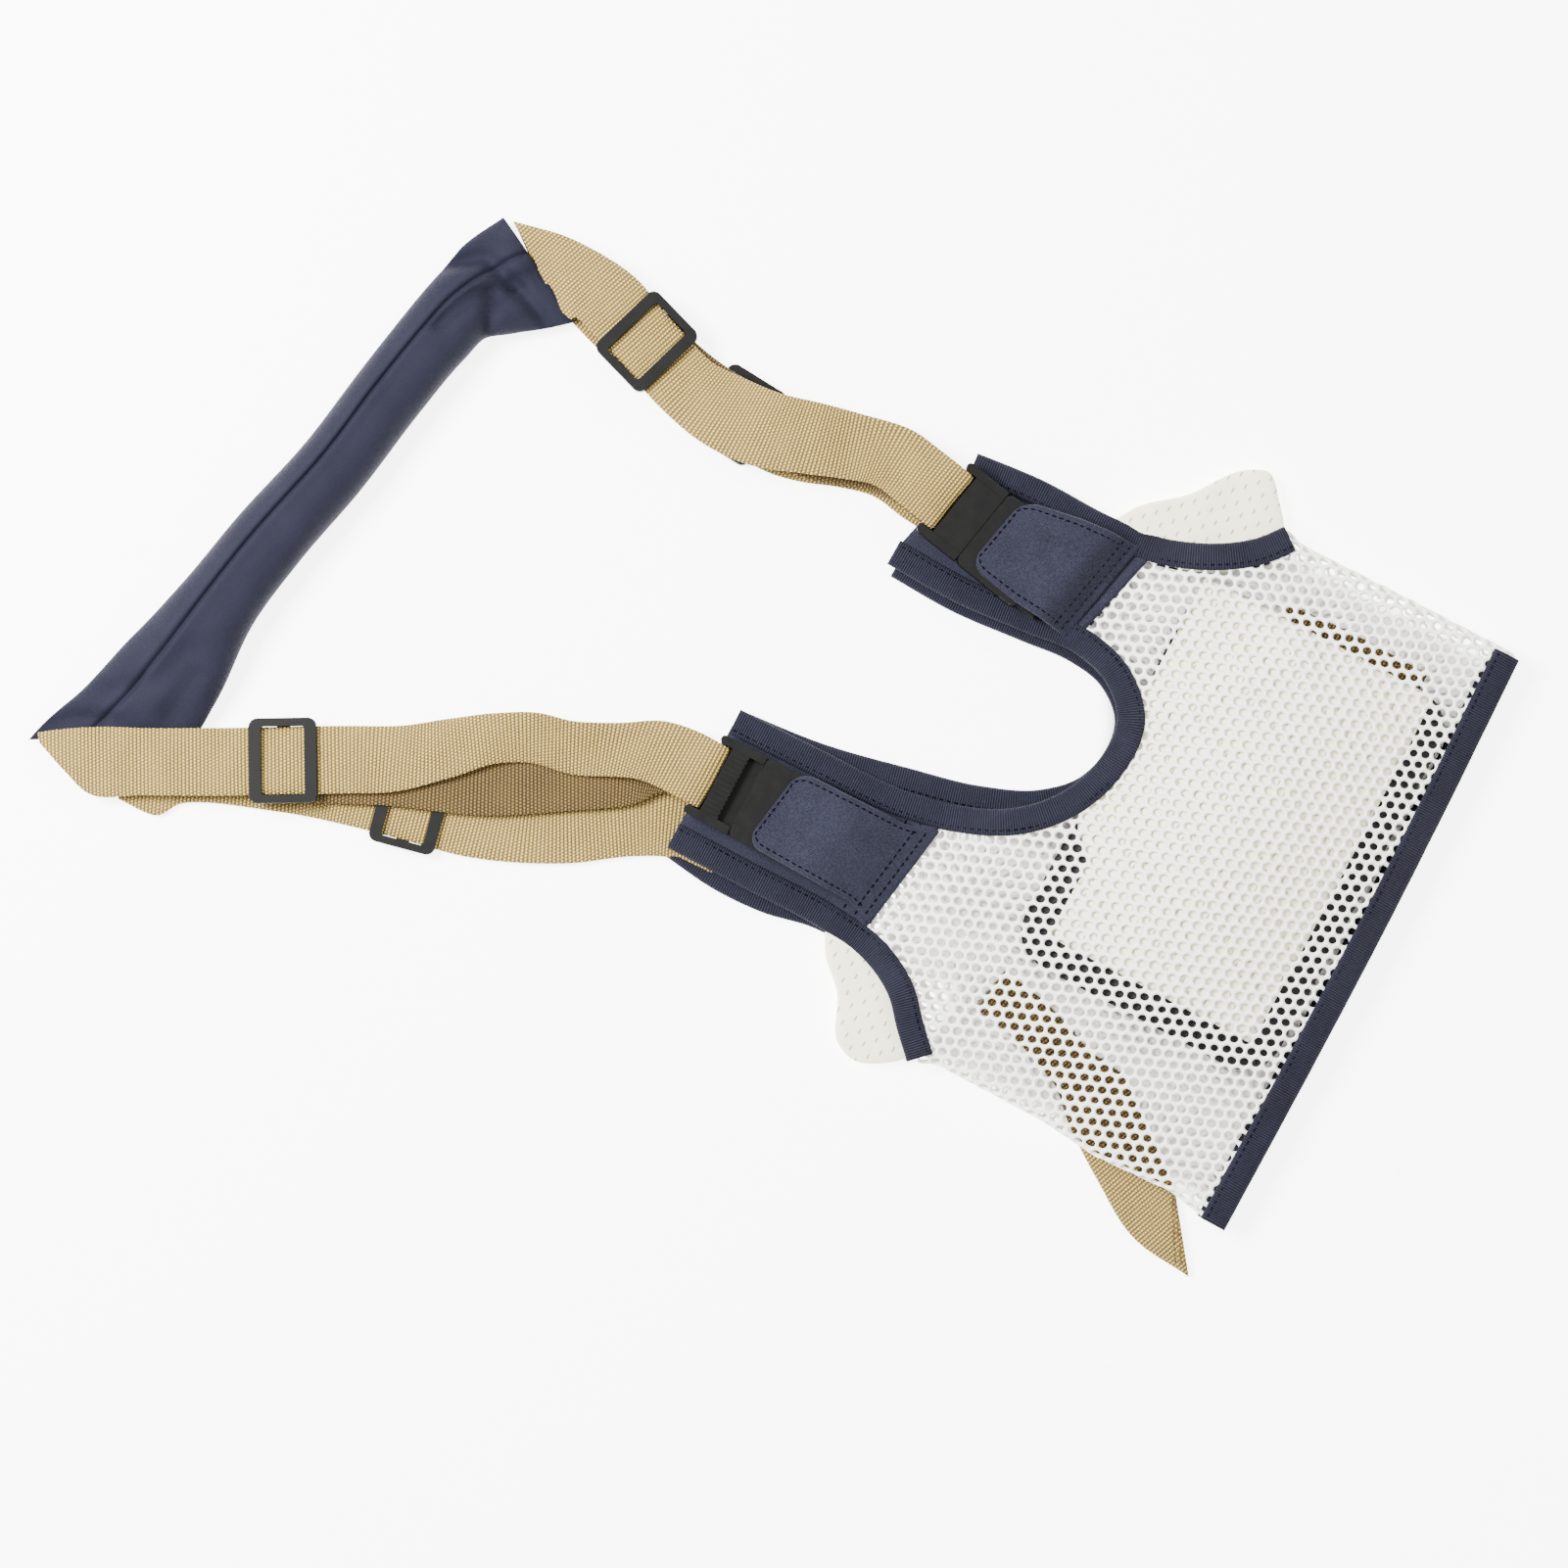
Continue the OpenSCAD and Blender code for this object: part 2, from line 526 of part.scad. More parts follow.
// ---------- the assembly, centred on the floor's origin ----------
module placed() translate([7.5, 2.7, 0]) children();

placed() neck_pad_cover();
placed() neck_pad_foam();
placed() front_strap_left();
placed() front_strap_right();
placed() front_return_left();
placed() front_return_right();
placed() front_strap_end_left();
placed() front_strap_end_right();
placed() back_strap_left();
placed() back_strap_right();
placed() front_slider_left();
placed() front_slider_right();
placed() back_slider_left();
placed() back_slider_right();
placed() buckle_plug_left();
placed() buckle_plug_right();
placed() latch_arm_left_a();
placed() latch_arm_left_b();
placed() latch_arm_right_a();
placed() latch_arm_right_b();
placed() buckle_socket_left();
placed() buckle_socket_right();
placed() buckle_anchor_left();
placed() buckle_anchor_right();
placed() front_panel();
placed() back_panel();
placed() front_tab_left();
placed() front_tab_right();
placed() back_tab_left();
placed() back_tab_right();
placed() flap_left();
placed() flap_right();
placed() liner_pad();
placed() liner_edging();
placed() arm_guard_left();
placed() arm_guard_right();
placed() inner_strap_left();
placed() inner_strap_right();
placed() neck_binding_front();
placed() neck_binding_back();
placed() armhole_binding_front_left();
placed() armhole_binding_front_right();
placed() armhole_binding_back_left();
placed() armhole_binding_back_right();
placed() hem_binding_front();
placed() hem_binding_back();
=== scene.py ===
import math
import random

import bmesh
import bpy
import numpy as np
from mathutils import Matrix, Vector, noise


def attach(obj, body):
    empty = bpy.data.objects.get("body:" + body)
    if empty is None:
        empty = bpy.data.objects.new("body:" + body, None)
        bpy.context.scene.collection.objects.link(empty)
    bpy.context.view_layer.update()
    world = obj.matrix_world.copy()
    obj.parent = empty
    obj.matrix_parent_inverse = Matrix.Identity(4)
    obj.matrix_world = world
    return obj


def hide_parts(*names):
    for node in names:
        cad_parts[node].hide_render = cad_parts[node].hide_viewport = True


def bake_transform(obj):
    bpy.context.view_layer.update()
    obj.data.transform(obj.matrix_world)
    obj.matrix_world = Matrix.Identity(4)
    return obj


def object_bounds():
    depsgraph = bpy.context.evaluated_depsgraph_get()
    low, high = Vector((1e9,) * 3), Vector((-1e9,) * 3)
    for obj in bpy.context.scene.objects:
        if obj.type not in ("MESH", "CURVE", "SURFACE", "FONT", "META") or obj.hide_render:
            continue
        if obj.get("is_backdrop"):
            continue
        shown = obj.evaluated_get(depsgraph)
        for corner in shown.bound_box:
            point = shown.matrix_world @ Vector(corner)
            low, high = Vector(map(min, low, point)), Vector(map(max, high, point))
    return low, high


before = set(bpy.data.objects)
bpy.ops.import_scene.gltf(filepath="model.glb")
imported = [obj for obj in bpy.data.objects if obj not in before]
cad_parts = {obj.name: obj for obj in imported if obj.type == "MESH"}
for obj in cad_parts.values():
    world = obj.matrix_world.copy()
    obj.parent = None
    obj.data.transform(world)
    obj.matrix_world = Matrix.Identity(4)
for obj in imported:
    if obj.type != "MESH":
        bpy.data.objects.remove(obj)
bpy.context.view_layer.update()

# ---------- camera, light and floor ----------
# The harness lies flat and is seen from almost straight above, its hem to the right.
focus = Vector((-0.0376, -0.0211, 0.010))
turn, height = math.radians(-62), math.radians(88)
away = Vector((math.sin(turn) * math.cos(height), -math.cos(turn) * math.cos(height), math.sin(height)))
camera = bpy.data.objects.new("camera", bpy.data.cameras.new("camera"))
camera.data.lens = 85
camera.location = focus + away * 1.70
camera.rotation_mode = "QUATERNION"
camera.rotation_quaternion = (-away).to_track_quat("-Z", "Y")
bpy.context.scene.collection.objects.link(camera)
bpy.context.scene.camera = camera


def area_light(name, place, size, power, tint=(1, 1, 1)):
    """A soft square lamp of the given size, aimed at the middle of the harness."""
    light = bpy.data.objects.new(name, bpy.data.lights.new(name, "AREA"))
    light.data.size = size
    light.data.energy = power
    light.data.color = tint
    light.location = place
    light.rotation_mode = "QUATERNION"
    light.rotation_quaternion = (Vector(place) - focus).to_track_quat("Z", "Y")
    bpy.context.scene.collection.objects.link(light)


area_light("key", (-0.15, 1.05, 1.35), 0.7, 125)
area_light("fill", (0.9, -0.5, 1.5), 1.4, 22)
world = bpy.data.worlds.new("studio")
world.use_nodes = True
world.node_tree.nodes["Background"].inputs[0].default_value = (1, 1, 1, 1)
world.node_tree.nodes["Background"].inputs[1].default_value = 1.35
bpy.context.scene.world = world


class Value:
    """One value in a material, which takes part in sums like a number."""

    def __init__(self, material, socket):
        self.material, self.socket = material, socket

    def connect(self, value, place):
        if isinstance(value, Value):
            self.material.node_tree.links.new(value.socket, place)
        else:
            place.default_value = value

    def node(self, kind, output=0, settings=(), **inputs):
        """Any other node. Its inputs are named, with _ for a space, or numbered as in_0."""
        made = self.material.node_tree.nodes.new("ShaderNode" + kind)
        for name, value in dict(settings).items():
            setattr(made, name, value)
        for name, value in inputs.items():
            place = made.inputs[int(name[3:])] if name.startswith("in_") else made.inputs[name.replace("_", " ")]
            self.connect(value, place)
        return Value(self.material, made.outputs[output])

    def sum(self, operation, *values):
        made = self.material.node_tree.nodes.new("ShaderNodeMath")
        made.operation = operation
        for place, value in zip(made.inputs, values):
            self.connect(value, place)
        return Value(self.material, made.outputs[0])

    def __add__(self, other):
        return self.sum("ADD", self, other)

    def __sub__(self, other):
        return self.sum("SUBTRACT", self, other)

    def __rsub__(self, other):
        return self.sum("SUBTRACT", other, self)

    def __mul__(self, other):
        return self.sum("MULTIPLY", self, other)

    def __truediv__(self, other):
        return self.sum("DIVIDE", self, other)

    def __pow__(self, other):
        return self.sum("POWER", self, other)

    __radd__ = __add__
    __rmul__ = __mul__

    def wave(self):
        """A smooth wave from 0 to 1 that repeats each time this value grows by one."""
        return self.sum("SINE", self * (2 * math.pi)) * 0.5 + 0.5

    def floor(self):
        return self.sum("FLOOR", self)

    def within(self, low, high):
        """How far this value is from low to high, from 0 to 1, eased."""
        return self.node("MapRange", settings={"interpolation_type": "SMOOTHSTEP"},
                         Value=self, From_Min=low, From_Max=high)

    def from_whole(self):
        """How far this value is from the nearest whole number, from 0 to 0.5."""
        return 0.5 - self.sum("ABSOLUTE", self - self.floor() - 0.5)

    def blend(self, first, second):
        """The first colour where this value is 0 and the second where it is 1."""
        mixed = self.node("Mix", 2, {"data_type": "RGBA"}, Factor=self)
        for place, colour in ((6, first), (7, second)):
            self.connect(colour if isinstance(colour, Value) else (*colour, 1), mixed.socket.node.inputs[place])
        return mixed


def material(name, roughness, specular=0.3, sheen=0.0):
    """A new material's shader node, and a starting value to build others from."""
    made = bpy.data.materials.new(name)
    made.use_nodes = True
    shader = made.node_tree.nodes["Principled BSDF"]
    shader.inputs["Roughness"].default_value = roughness
    shader.inputs["Specular IOR Level"].default_value = specular
    shader.inputs["Sheen Weight"].default_value = sheen
    shader.inputs["Sheen Roughness"].default_value = 0.4
    return made, shader, Value(made, None)


def surface(value, shader, colour, bump=None, depth=0.0002, strength=1.0, roughness=None):
    """Gives the shader its colour, and its relief where there is one."""
    value.connect(colour if isinstance(colour, Value) else (*colour, 1), shader.inputs["Base Color"])
    if bump is not None:
        relief = value.node("Bump", Strength=strength, Distance=depth, Height=bump)
        value.connect(relief, shader.inputs["Normal"])
    if roughness is not None:
        value.connect(roughness, shader.inputs["Roughness"])


floor_mesh = bpy.data.meshes.new("floor")
floor_mesh.from_pydata([(-3, -3, 0), (3, -3, 0), (3, 3, 0), (-3, 3, 0)], [], [(0, 1, 2, 3)])
floor = bpy.data.objects.new("floor", floor_mesh)
floor.location.z = -0.0004
bpy.context.scene.collection.objects.link(floor)
# The paper glows a little, so that it comes out white, but not in the shade under the vest.
paper, shader, value = material("paper", 0.9, 0.1)
spot = value.node("SeparateXYZ", Vector=value.node("TexCoord", 3))
spot_y = Value(spot.material, spot.socket.node.outputs[1])
chest = (spot.within(-0.12, -0.11) * spot.within(0.17, 0.16)
         * spot_y.within(-0.293, -0.283) * spot_y.within(-0.13, -0.14))
shoulders = (spot.within(-0.088, -0.078) * spot.within(0.14, 0.13)
             * spot_y.within(-0.15, -0.14) * spot_y.within(-0.09, -0.1))
from_neck = ((spot - 0.034) ** 2 + (spot_y + 0.092) ** 2) ** 0.5
shade = (1 - (1 - chest) * (1 - shoulders)) * from_neck.within(0.05, 0.058)
surface(value, shader, (0.93, 0.93, 0.93))
value.connect((1 - shade).blend((0, 0, 0), (1, 1, 1)), shader.inputs["Emission Color"])
shader.inputs["Emission Strength"].default_value = 5
floor.data.materials.append(paper)
floor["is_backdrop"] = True

# ---------- neck pad ----------
# A tube of smooth navy twill over a strip of foam. A seam runs along its top, and each end is
# left flat and open, sewn across the two straps that leave it.
SHIFT = (7.5, 2.7, 0)  # from the origin that the harness is drawn about to the frame's, in millimetres


def placed(x, y, z):
    """A point of the drawing in the frame, in metres."""
    return tuple((a + b) / 1000 for a, b in zip((x, y, z), SHIFT))


def unit(vectors):
    return vectors / np.maximum(np.linalg.norm(vectors, axis=-1, keepdims=True), 1e-9)


def through(points, step, axes=None):
    """A smooth curve through the points, with stations about step apart."""
    p = np.array(points, float)
    gap = np.linalg.norm(np.diff(p[:, :axes], axis=0), axis=1) / math.sqrt(1 if axes else p.shape[1] / 3)
    slope = np.diff(p, axis=0) / gap[:, None]
    lean = np.vstack([slope[:1], (slope[:-1] * gap[1:, None] + slope[1:] * gap[:-1, None])
                      / (gap[1:] + gap[:-1])[:, None], slope[-1:]])
    found = []
    for i, g in enumerate(gap):
        for s in np.linspace(0, 1, max(2, int(math.ceil(g / step)) + 1))[:-1]:
            found.append((1 + 2 * s) * (1 - s) ** 2 * p[i] + s * (1 - s) ** 2 * g * lean[i]
                         + s * s * (3 - 2 * s) * p[i + 1] + s * s * (s - 1) * g * lean[i + 1])
    return np.array(found + [p[-1]])


class Piece:
    """The points and faces of one piece, in millimetres, before it becomes an object."""

    def __init__(self):
        self.points, self.faces, self.places, self.looks = [], [], [], []

    def add(self, points, faces, places, look=0):
        start = len(self.points)
        self.points += [tuple(p) for p in points]
        self.faces += [[start + i for i in face] for face in faces]
        self.places += [tuple(p) for p in places]
        self.looks += [look] * len(faces)

    def make(self, name, *materials, body="root", slot=None, stands_for=()):
        mesh = bpy.data.meshes.new(name)
        shifted = (np.array(self.points) + SHIFT) / 1000
        mesh.from_pydata(shifted.tolist(), [], self.faces)
        corners = np.zeros(len(mesh.loops), int)
        mesh.loops.foreach_get("vertex_index", corners)
        layer = mesh.uv_layers.new(name="cloth")
        layer.data.foreach_set("uv", (np.array(self.places)[corners] / 10).ravel())
        mesh.polygons.foreach_set("material_index", self.looks)
        mesh.polygons.foreach_set("use_smooth", [True] * len(self.faces))
        work = bmesh.new()
        work.from_mesh(mesh)
        bmesh.ops.recalc_face_normals(work, faces=work.faces)
        work.to_mesh(mesh)
        work.free()
        made = bpy.data.objects.new(name, mesh)
        bpy.context.scene.collection.objects.link(made)
        for m in materials:
            mesh.materials.append(m)
        if body:
            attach(made, body)
        if stands_for:
            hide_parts(*stands_for)
        return made


def tube(piece, rings, places, look=0):
    """Joins closed rings of points one after the other, with a cap on each end."""
    rows, around = rings.shape[:2]
    faces = [[i * around + k, i * around + (k + 1) % around, (i + 1) * around + (k + 1) % around, (i + 1) * around + k]
             for i in range(rows - 1) for k in range(around)]
    faces += [list(range(around))[::-1], [(rows - 1) * around + k for k in range(around)]]
    piece.add(rings.reshape(-1, 3), faces, places.reshape(-1, 2), look)


def near_line(x, y, line, width):
    """1 on a line of points and less beside it, fading out over width."""
    best = np.full(np.shape(x), 1e9)
    for (ax, ay), (bx, by) in zip(line[:-1], line[1:]):
        dx, dy = bx - ax, by - ay
        t = np.clip(((x - ax) * dx + (y - ay) * dy) / (dx * dx + dy * dy), 0, 1)
        best = np.minimum(best, np.hypot(x - ax - t * dx, y - ay - t * dy))
    return np.exp(-(best / width) ** 2)


def cloth_axes(value):
    """Along and across the cloth, in millimetres."""
    axes = value.node("UVMap", settings={"uv_map": "cloth"})
    parts = value.node("SeparateXYZ", Vector=axes)
    return parts * 10, Value(parts.material, parts.socket.node.outputs[1]) * 10


navy_twill, shader, value = material("pad_twill", 0.75, 0.12, 0.03)
along, across = cloth_axes(value)
diagonal = ((along + across * 1.6) / 0.62).wave()
mottle = value.node("TexNoise", Vector=value.node("TexCoord", 3), Scale=60, Detail=4)
grain = value.node("TexNoise", Vector=value.node("TexCoord", 3), Scale=900, Detail=2)
tone = mottle * 0.6 + diagonal * 0.15 + grain * 0.35
navy = tone.blend((0.0030, 0.0031, 0.0078), (0.0100, 0.0102, 0.0210))
surface(value, shader, navy, diagonal + grain, 0.00008, 0.5)

# stations: x, y, width, thickness, turn of the cross-section
pad_path = [[-171.5, 260, 76, 6, 47], [-152, 254, 62, 12, 34], [-126, 249, 49, 18, 14], [-96, 245, 38, 23, 4],
            [-56, 238, 35, 24, 0], [-14, 228, 33.5, 24, 0], [30, 221, 33.5, 24, 0], [62, 215, 34.5, 22, 0],
            [80, 210.5, 37, 18, 0], [93, 203, 48, 13, 6], [112, 188, 59, 7, 11]]


def pad_rings(share, trim, angles):
    """Rings of a pad of that share of its full section, trim stations shorter at each end."""
    path = through(pad_path, 2.5, 2)
    path = path[trim:len(path) - trim]
    heading = unit(np.gradient(path[:, :2], axis=0))
    turned = np.radians(path[:, 4])
    side = np.stack([-heading[:, 1] * np.cos(turned) - heading[:, 0] * np.sin(turned),
                     heading[:, 0] * np.cos(turned) - heading[:, 1] * np.sin(turned)], 1)
    a = np.radians(angles)
    out = np.sign(np.cos(a)) * np.abs(np.cos(a)) ** 0.85
    rise = np.sign(np.sin(a)) * np.abs(np.sin(a)) ** 0.9
    x = path[:, 0:1] + side[:, 0:1] * path[:, 2:3] / 2 * share * out
    y = path[:, 1:2] + side[:, 1:2] * path[:, 2:3] / 2 * share * out
    middle = 3.8 + 8.4 * path[:, 3:4] / 24
    z = middle + path[:, 3:4] / 2 * share * rise
    travel = np.concatenate([[0], np.cumsum(np.hypot(*np.diff(path[:, :2], axis=0).T))])
    places = np.stack([np.repeat(travel[:, None], len(a), 1), path[:, 2:3] / 2 * np.radians(angles) + 0 * x], 2)
    return np.stack([x, y, z], 2), places, rise


seam_angle = 76
angles = sorted([seam_angle + d for d in (-13, -8, -5, -3, -1.5, 0, 1.5, 3, 5, 8, 13)]
                + [float(a) for a in range(0, 360, 8) if abs(a - seam_angle) > 15])
rings, places, rise = pad_rings(1.0, 0, angles)
x, y, z = rings[..., 0], rings[..., 1], rings[..., 2]
top = np.clip(rise * 1.5, 0, 1)
# the creases where the wide, flat ends draw the tube in
# (a line, how deep, how wide)
creases = [([(93, 228), (105, 212), (99, 193)], 5.0, 4), ([(99, 193), (112, 184)], 4.0, 2.6),
           ([(66, 215), (88, 207), (99, 193)], 3.2, 2.6), ([(91, 200), (77, 195)], 5.0, 3.4),
           ([(98, 188), (92, 174)], 3.8, 3), ([(-178, 288), (-172, 279), (-164, 262)], 2.6, 4),
           ([(-152, 268), (-138, 252), (-120, 246)], 1.8, 5), ([(-150, 240), (-128, 238)], 1.8, 4)]
for line, depth, wide in creases:
    z -= top * depth * near_line(x, y, line, wide)
folds = [([(108, 196), (118, 204)], 2.2, 6), ([(72, 204), (90, 186)], 2.0, 6), ([(-176, 268), (-150, 246)], 1.5, 7)]
for line, lift, wide in folds:
    z += top * lift * near_line(x, y, line, wide)
for i, k in np.ndindex(x.shape):
    z[i, k] += top[k] * 0.9 * noise.noise(Vector((x[i, k] / 26, y[i, k] / 15, 2.5)))
groove = np.exp(-((np.array(angles) - seam_angle) / 2.2) ** 2)
z -= 1.7 * groove[None, :]
z += 0.5 * np.exp(-((np.abs(np.array(angles) - seam_angle) - 7) / 3.0) ** 2)[None, :]
z[...] = np.maximum(z, 0.25)
pad = Piece()
tube(pad, rings, places)
pad_cover = pad.make("pad_cover", navy_twill, slot="navy_canvas", stands_for=["neck_pad_cover"])

# the strip of foam inside, which ends before the flat ends of the tube
foam_look, shader, value = material("foam", 0.9, 0.2)
cells = value.node("TexVoronoi", Vector=value.node("TexCoord", 3), Scale=900)
surface(value, shader, cells.blend((0.62, 0.60, 0.50), (0.80, 0.78, 0.70)), cells, 0.0002, 0.6)
rings, places, rise = pad_rings(0.62, 18, [float(a) for a in range(0, 360, 12)])
foam = Piece()
tube(foam, rings, places)
pad_foam = foam.make("pad_foam", foam_look, slot="foam", stands_for=["neck_pad_foam"])

# ---------- front straps ----------
# Ribbed tan webbing, 31 mm wide. Each leaves the pad, runs through its slider and round the
# bar of the buckle's plug, and comes back underneath to the slider.
# where the points across a band lie, closest at its thin edges
EDGE = [1, 0.985, 0.93, 0.8, 0.5, 0.17, -0.17, -0.5, -0.8, -0.93, -0.985, -1]


def strap(piece, ladder, thick, step=3.0, ripple=0.0, seed=0, look=0, settle=None):
    """A woven band through a ladder of (left edge, right edge) pairs. Returns its middle line,
    the way across it and its upper side. Where it is cut or folded across its weave, settle is
    the rung that the weave before it lies square to, or 0 for all of the weave."""
    rungs = through([[*a, *b] for a, b in ladder], step).reshape(-1, 2, 3)
    middle = rungs.mean(1)
    wide = np.linalg.norm(rungs[:, 0] - rungs[:, 1], axis=1)
    side = unit(rungs[:, 0] - rungs[:, 1])
    ahead = unit(np.gradient(middle, axis=0))
    up = unit(np.cross(ahead, side))
    travel = np.concatenate([[0], np.cumsum(np.linalg.norm(np.diff(middle, axis=0), axis=1))])
    share = np.array(EDGE + EDGE[-2:0:-1])
    face = np.array([1.0] * len(EDGE) + [-1.0] * (len(EDGE) - 2))
    swell = face * thick / 2 * np.sqrt(1 - np.abs(share) ** 8)
    points = np.zeros((len(middle), len(share), 3))
    for i in range(len(middle)):
        lift = [ripple * noise.noise(Vector((travel[i] / 17, s * 1.1, seed))) for s in share]
        points[i] = middle[i] + side[i] * (share * wide[i] / 2)[:, None] + up[i] * (swell + lift)[:, None]
    places = np.stack([np.repeat(travel[:, None], len(share), 1), share * wide[:, None] / 2], 2)
    if settle is not None:
        rung = np.array(ladder[settle]).mean(0)
        k = int(np.argmin(np.linalg.norm(middle - rung, axis=1)))
        folded = slice(0, k) if settle else slice(None)
        away_from = points[folded] - middle[k]
        places[folded] = np.stack([travel[k] + away_from @ ahead[k], away_from @ side[k]], -1)
    tube(piece, points, places, look)
    return middle, side, up, wide


def ladder_length(ladder):
    return sum((Vector(b[0]) + Vector(b[1]) - Vector(a[0]) - Vector(a[1])).length / 2
               for a, b in zip(ladder[:-1], ladder[1:]))


def webbing_look(name, valley, bead_colour, smooth):
    """Ribs of small beads across the webbing, dark in the valleys, and smoother in places."""
    made, shader, value = material(name, 0.62, 0.2)
    along, across = cloth_axes(value)
    rib = along / 1.72
    bead = (across / 1.55 + rib.floor() * 0.5).wave()
    relief = rib.wave() ** 0.8 * (bead * 0.8 + 0.2)
    drift = value.node("TexNoise", Vector=value.node("TexCoord", 3), Scale=70, Detail=3)
    weave = relief.within(0.12, 0.6).blend(valley, bead_colour)
    surface(value, shader, (drift * 0.3).blend(weave, smooth), relief, 0.0008, 1.0)
    return made


webbing = webbing_look("webbing", (0.045, 0.021, 0.003), (0.66, 0.49, 0.150), (0.42, 0.29, 0.085))
# A darker copy of the webbing: painted shade, for the runs that lie under the front straps or inside the vest.
webbing_back = webbing_look("webbing_back", (0.012, 0.005, 0.001), (0.215, 0.14, 0.040), (0.145, 0.09, 0.025))

# The left strap is folded to a point where it leaves the pad, and its outer edge lifts in a
# soft twist above the buckle.
left_ladder = [((-185, 290, 9.5), (-189, 287, 9.0)), ((-178, 280, 10.6), (-195, 271, 9.2)),
               ((-170, 267, 11.4), (-199, 256, 9.2)), ((-160, 247, 11.6), (-188, 234, 10.6)),
               ((-144.9, 218.6, 11.6), (-172.1, 203.6, 11.6)), ((-129.9, 191.5, 11.6), (-157.1, 176.5, 11.6)),
               ((-116.3, 167.0, 11.6), (-143.5, 152.0, 11.6)), ((-104, 144, 12.0), (-132, 132, 11.6)),
               ((-91, 126, 15), (-114, 112, 12.6)), ((-79, 108, 21), (-98, 96, 12.0)),
               ((-70, 92, 24), (-91, 82, 10.5)), ((-65, 74, 20.5), (-87, 64, 10.5)),
               ((-56, 56, 17.0), (-80, 49, 12.5)), ((-45.5, 38, 15.8), (-74.5, 35, 15.4)),
               ((-42.5, 22, 16.3), (-73.5, 22, 16.3)), ((-42.5, 9, 16.3), (-73.5, 9, 16.3)),
               ((-42.5, 6.2, 15.2), (-73.5, 6.2, 15.2)), ((-42.5, 5.3, 13.2), (-73.5, 5.3, 13.2)),
               ((-42.5, 6.2, 11.2), (-73.5, 6.2, 11.2)), ((-42.5, 9, 10.1), (-73.5, 9, 10.1)),
               ((-43, 22, 9.9), (-74, 22, 9.7)), ((-57, 44, 8.4), (-86, 33, 8.2)),
               ((-74, 72, 7.8), (-102, 57, 7.8)), ((-94, 104, 7.8), (-122, 90, 7.8)),
               ((-112, 148, 7.6), (-141, 136, 7.6)), ((-125, 174, 7.5), (-153, 161, 7.5)),
               ((-132.4, 193.5, 7.5), (-159.6, 178.5, 7.5))]
# The right one stays flatter.
right_ladder = [((126, 209, 8.4), (100, 171, 8.4)), ((131, 183, 10.6), (98, 164, 10.6)),
                ((130.4, 154, 11.6), (99.8, 161, 11.6)), ((119.7, 122.7, 11.6), (90.3, 132.3, 11.6)),
                ((110.9, 96.3, 11.6), (80.5, 105.8, 11.6)), ((111, 82, 13.8), (76, 86, 12.4)),
                ((112, 62, 19.5), (76.5, 60, 15)), ((117, 42, 20.5), (84.5, 36, 16)),
                ((121.5, 24, 17.5), (92, 16, 15.4)), ((126, 0, 15.8), (95.4, 2, 15.8)),
                ((123.8, -15.5, 16.3), (93.3, -9.6, 16.3)), ((120.8, -31.4, 16.3), (90.3, -25.4, 16.3)),
                ((120.3, -34.1, 15.2), (89.8, -28.1, 15.2)), ((120.1, -35, 13.2), (89.6, -29, 13.2)),
                ((120.3, -34.1, 11.2), (89.8, -28.1, 11.2)), ((120.8, -31.4, 10.1), (90.3, -25.4, 10.1)),
                ((124, -14, 9.9), (93.5, -8, 9.9)), ((123, 12, 8.4), (92.5, 8, 8.4)),
                ((115.8, 34, 7.8), (85.4, 28, 7.8)), ((112.5, 61, 7.8), (81.5, 60, 7.8)),
                ((112.5, 88, 7.6), (81.7, 91, 7.6)), ((116, 108, 7.5), (86, 115, 7.5)),
                ((120, 121, 7.5), (90.5, 130, 7.5))]
# turned is the rung where the webbing turns back under the plug's bar.
for name, ladder, turned, settle, bend_y, bar, seed in (("left", left_ladder, 17, 4, 70, (-58, 24), 3),
                                                        ("right", right_ladder, 13, 3, 28, (109, -10), 8)):
    piece = Piece()
    strap(piece, ladder[:turned + 1], 1.5, 2.4, 0.7, seed, settle=settle)
    # the run that comes back under the plug takes the darker copy of the webbing: painted shade
    strap(piece, ladder[turned:], 1.5, 2.4, 0.7, seed + 1, look=1)
    made = piece.make(f"front_webbing_{name}", webbing, webbing_back, body=None, slot="tan_webbing",
                      stands_for=[f"front_strap_{name}", f"front_return_{name}", f"front_strap_end_{name}"])
    round(ladder_length(ladder) / 1000, 3)
    placed(bar[0], bend_y, 13)
    placed(*bar, 13)
    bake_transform(made)

# ---------- back straps ----------
# The same webbing under the front straps, from the pad through a second slider to the back
# tab. Where each leaves the pad its folded corner stands out beside the front strap.
back_left = [((-170, 250, 4), (-195, 244, 3.6)), ((-165, 236, 3.2), (-194, 226, 3)),
             ((-155, 214, 3), (-183, 217, 3)), ((-138, 190, 3), (-166, 177, 3)),
             ((-125.5, 149.8, 3), (-155.7, 142.8, 3)), ((-119.9, 126.5, 3), (-150.1, 119.5, 3)),
             ((-113, 96.3, 3), (-143.1, 89.3, 3)), ((-97, 62, 3), (-124, 47, 3)),
             ((-80, 38, 3), (-107, 22, 3)), ((-70, 16, 3), (-99, 5, 3)), ((-68, -6, 3), (-97.5, -14, 3))]
back_right = [((125, 207, 6), (110, 188, 6)), ((131, 181, 5), (104, 178, 5)),
              ((122, 142, 3), (93.5, 150, 3)), ((113.2, 98, 3), (82.2, 100.1, 3)),
              ((111.5, 74, 3), (80.5, 76, 3)), ((109.5, 47, 3), (79, 49, 3)), ((111.5, 32, 3), (82.5, 34, 3)),
              ((116, 18, 3), (88, 19, 3)), ((120, 0, 2.8), (92, 2, 2.8)), ((119.5, -18, 3.1), (89.5, -15, 3.1)),
              ((118.5, -36, 3.1), (88.5, -33, 3.1))]
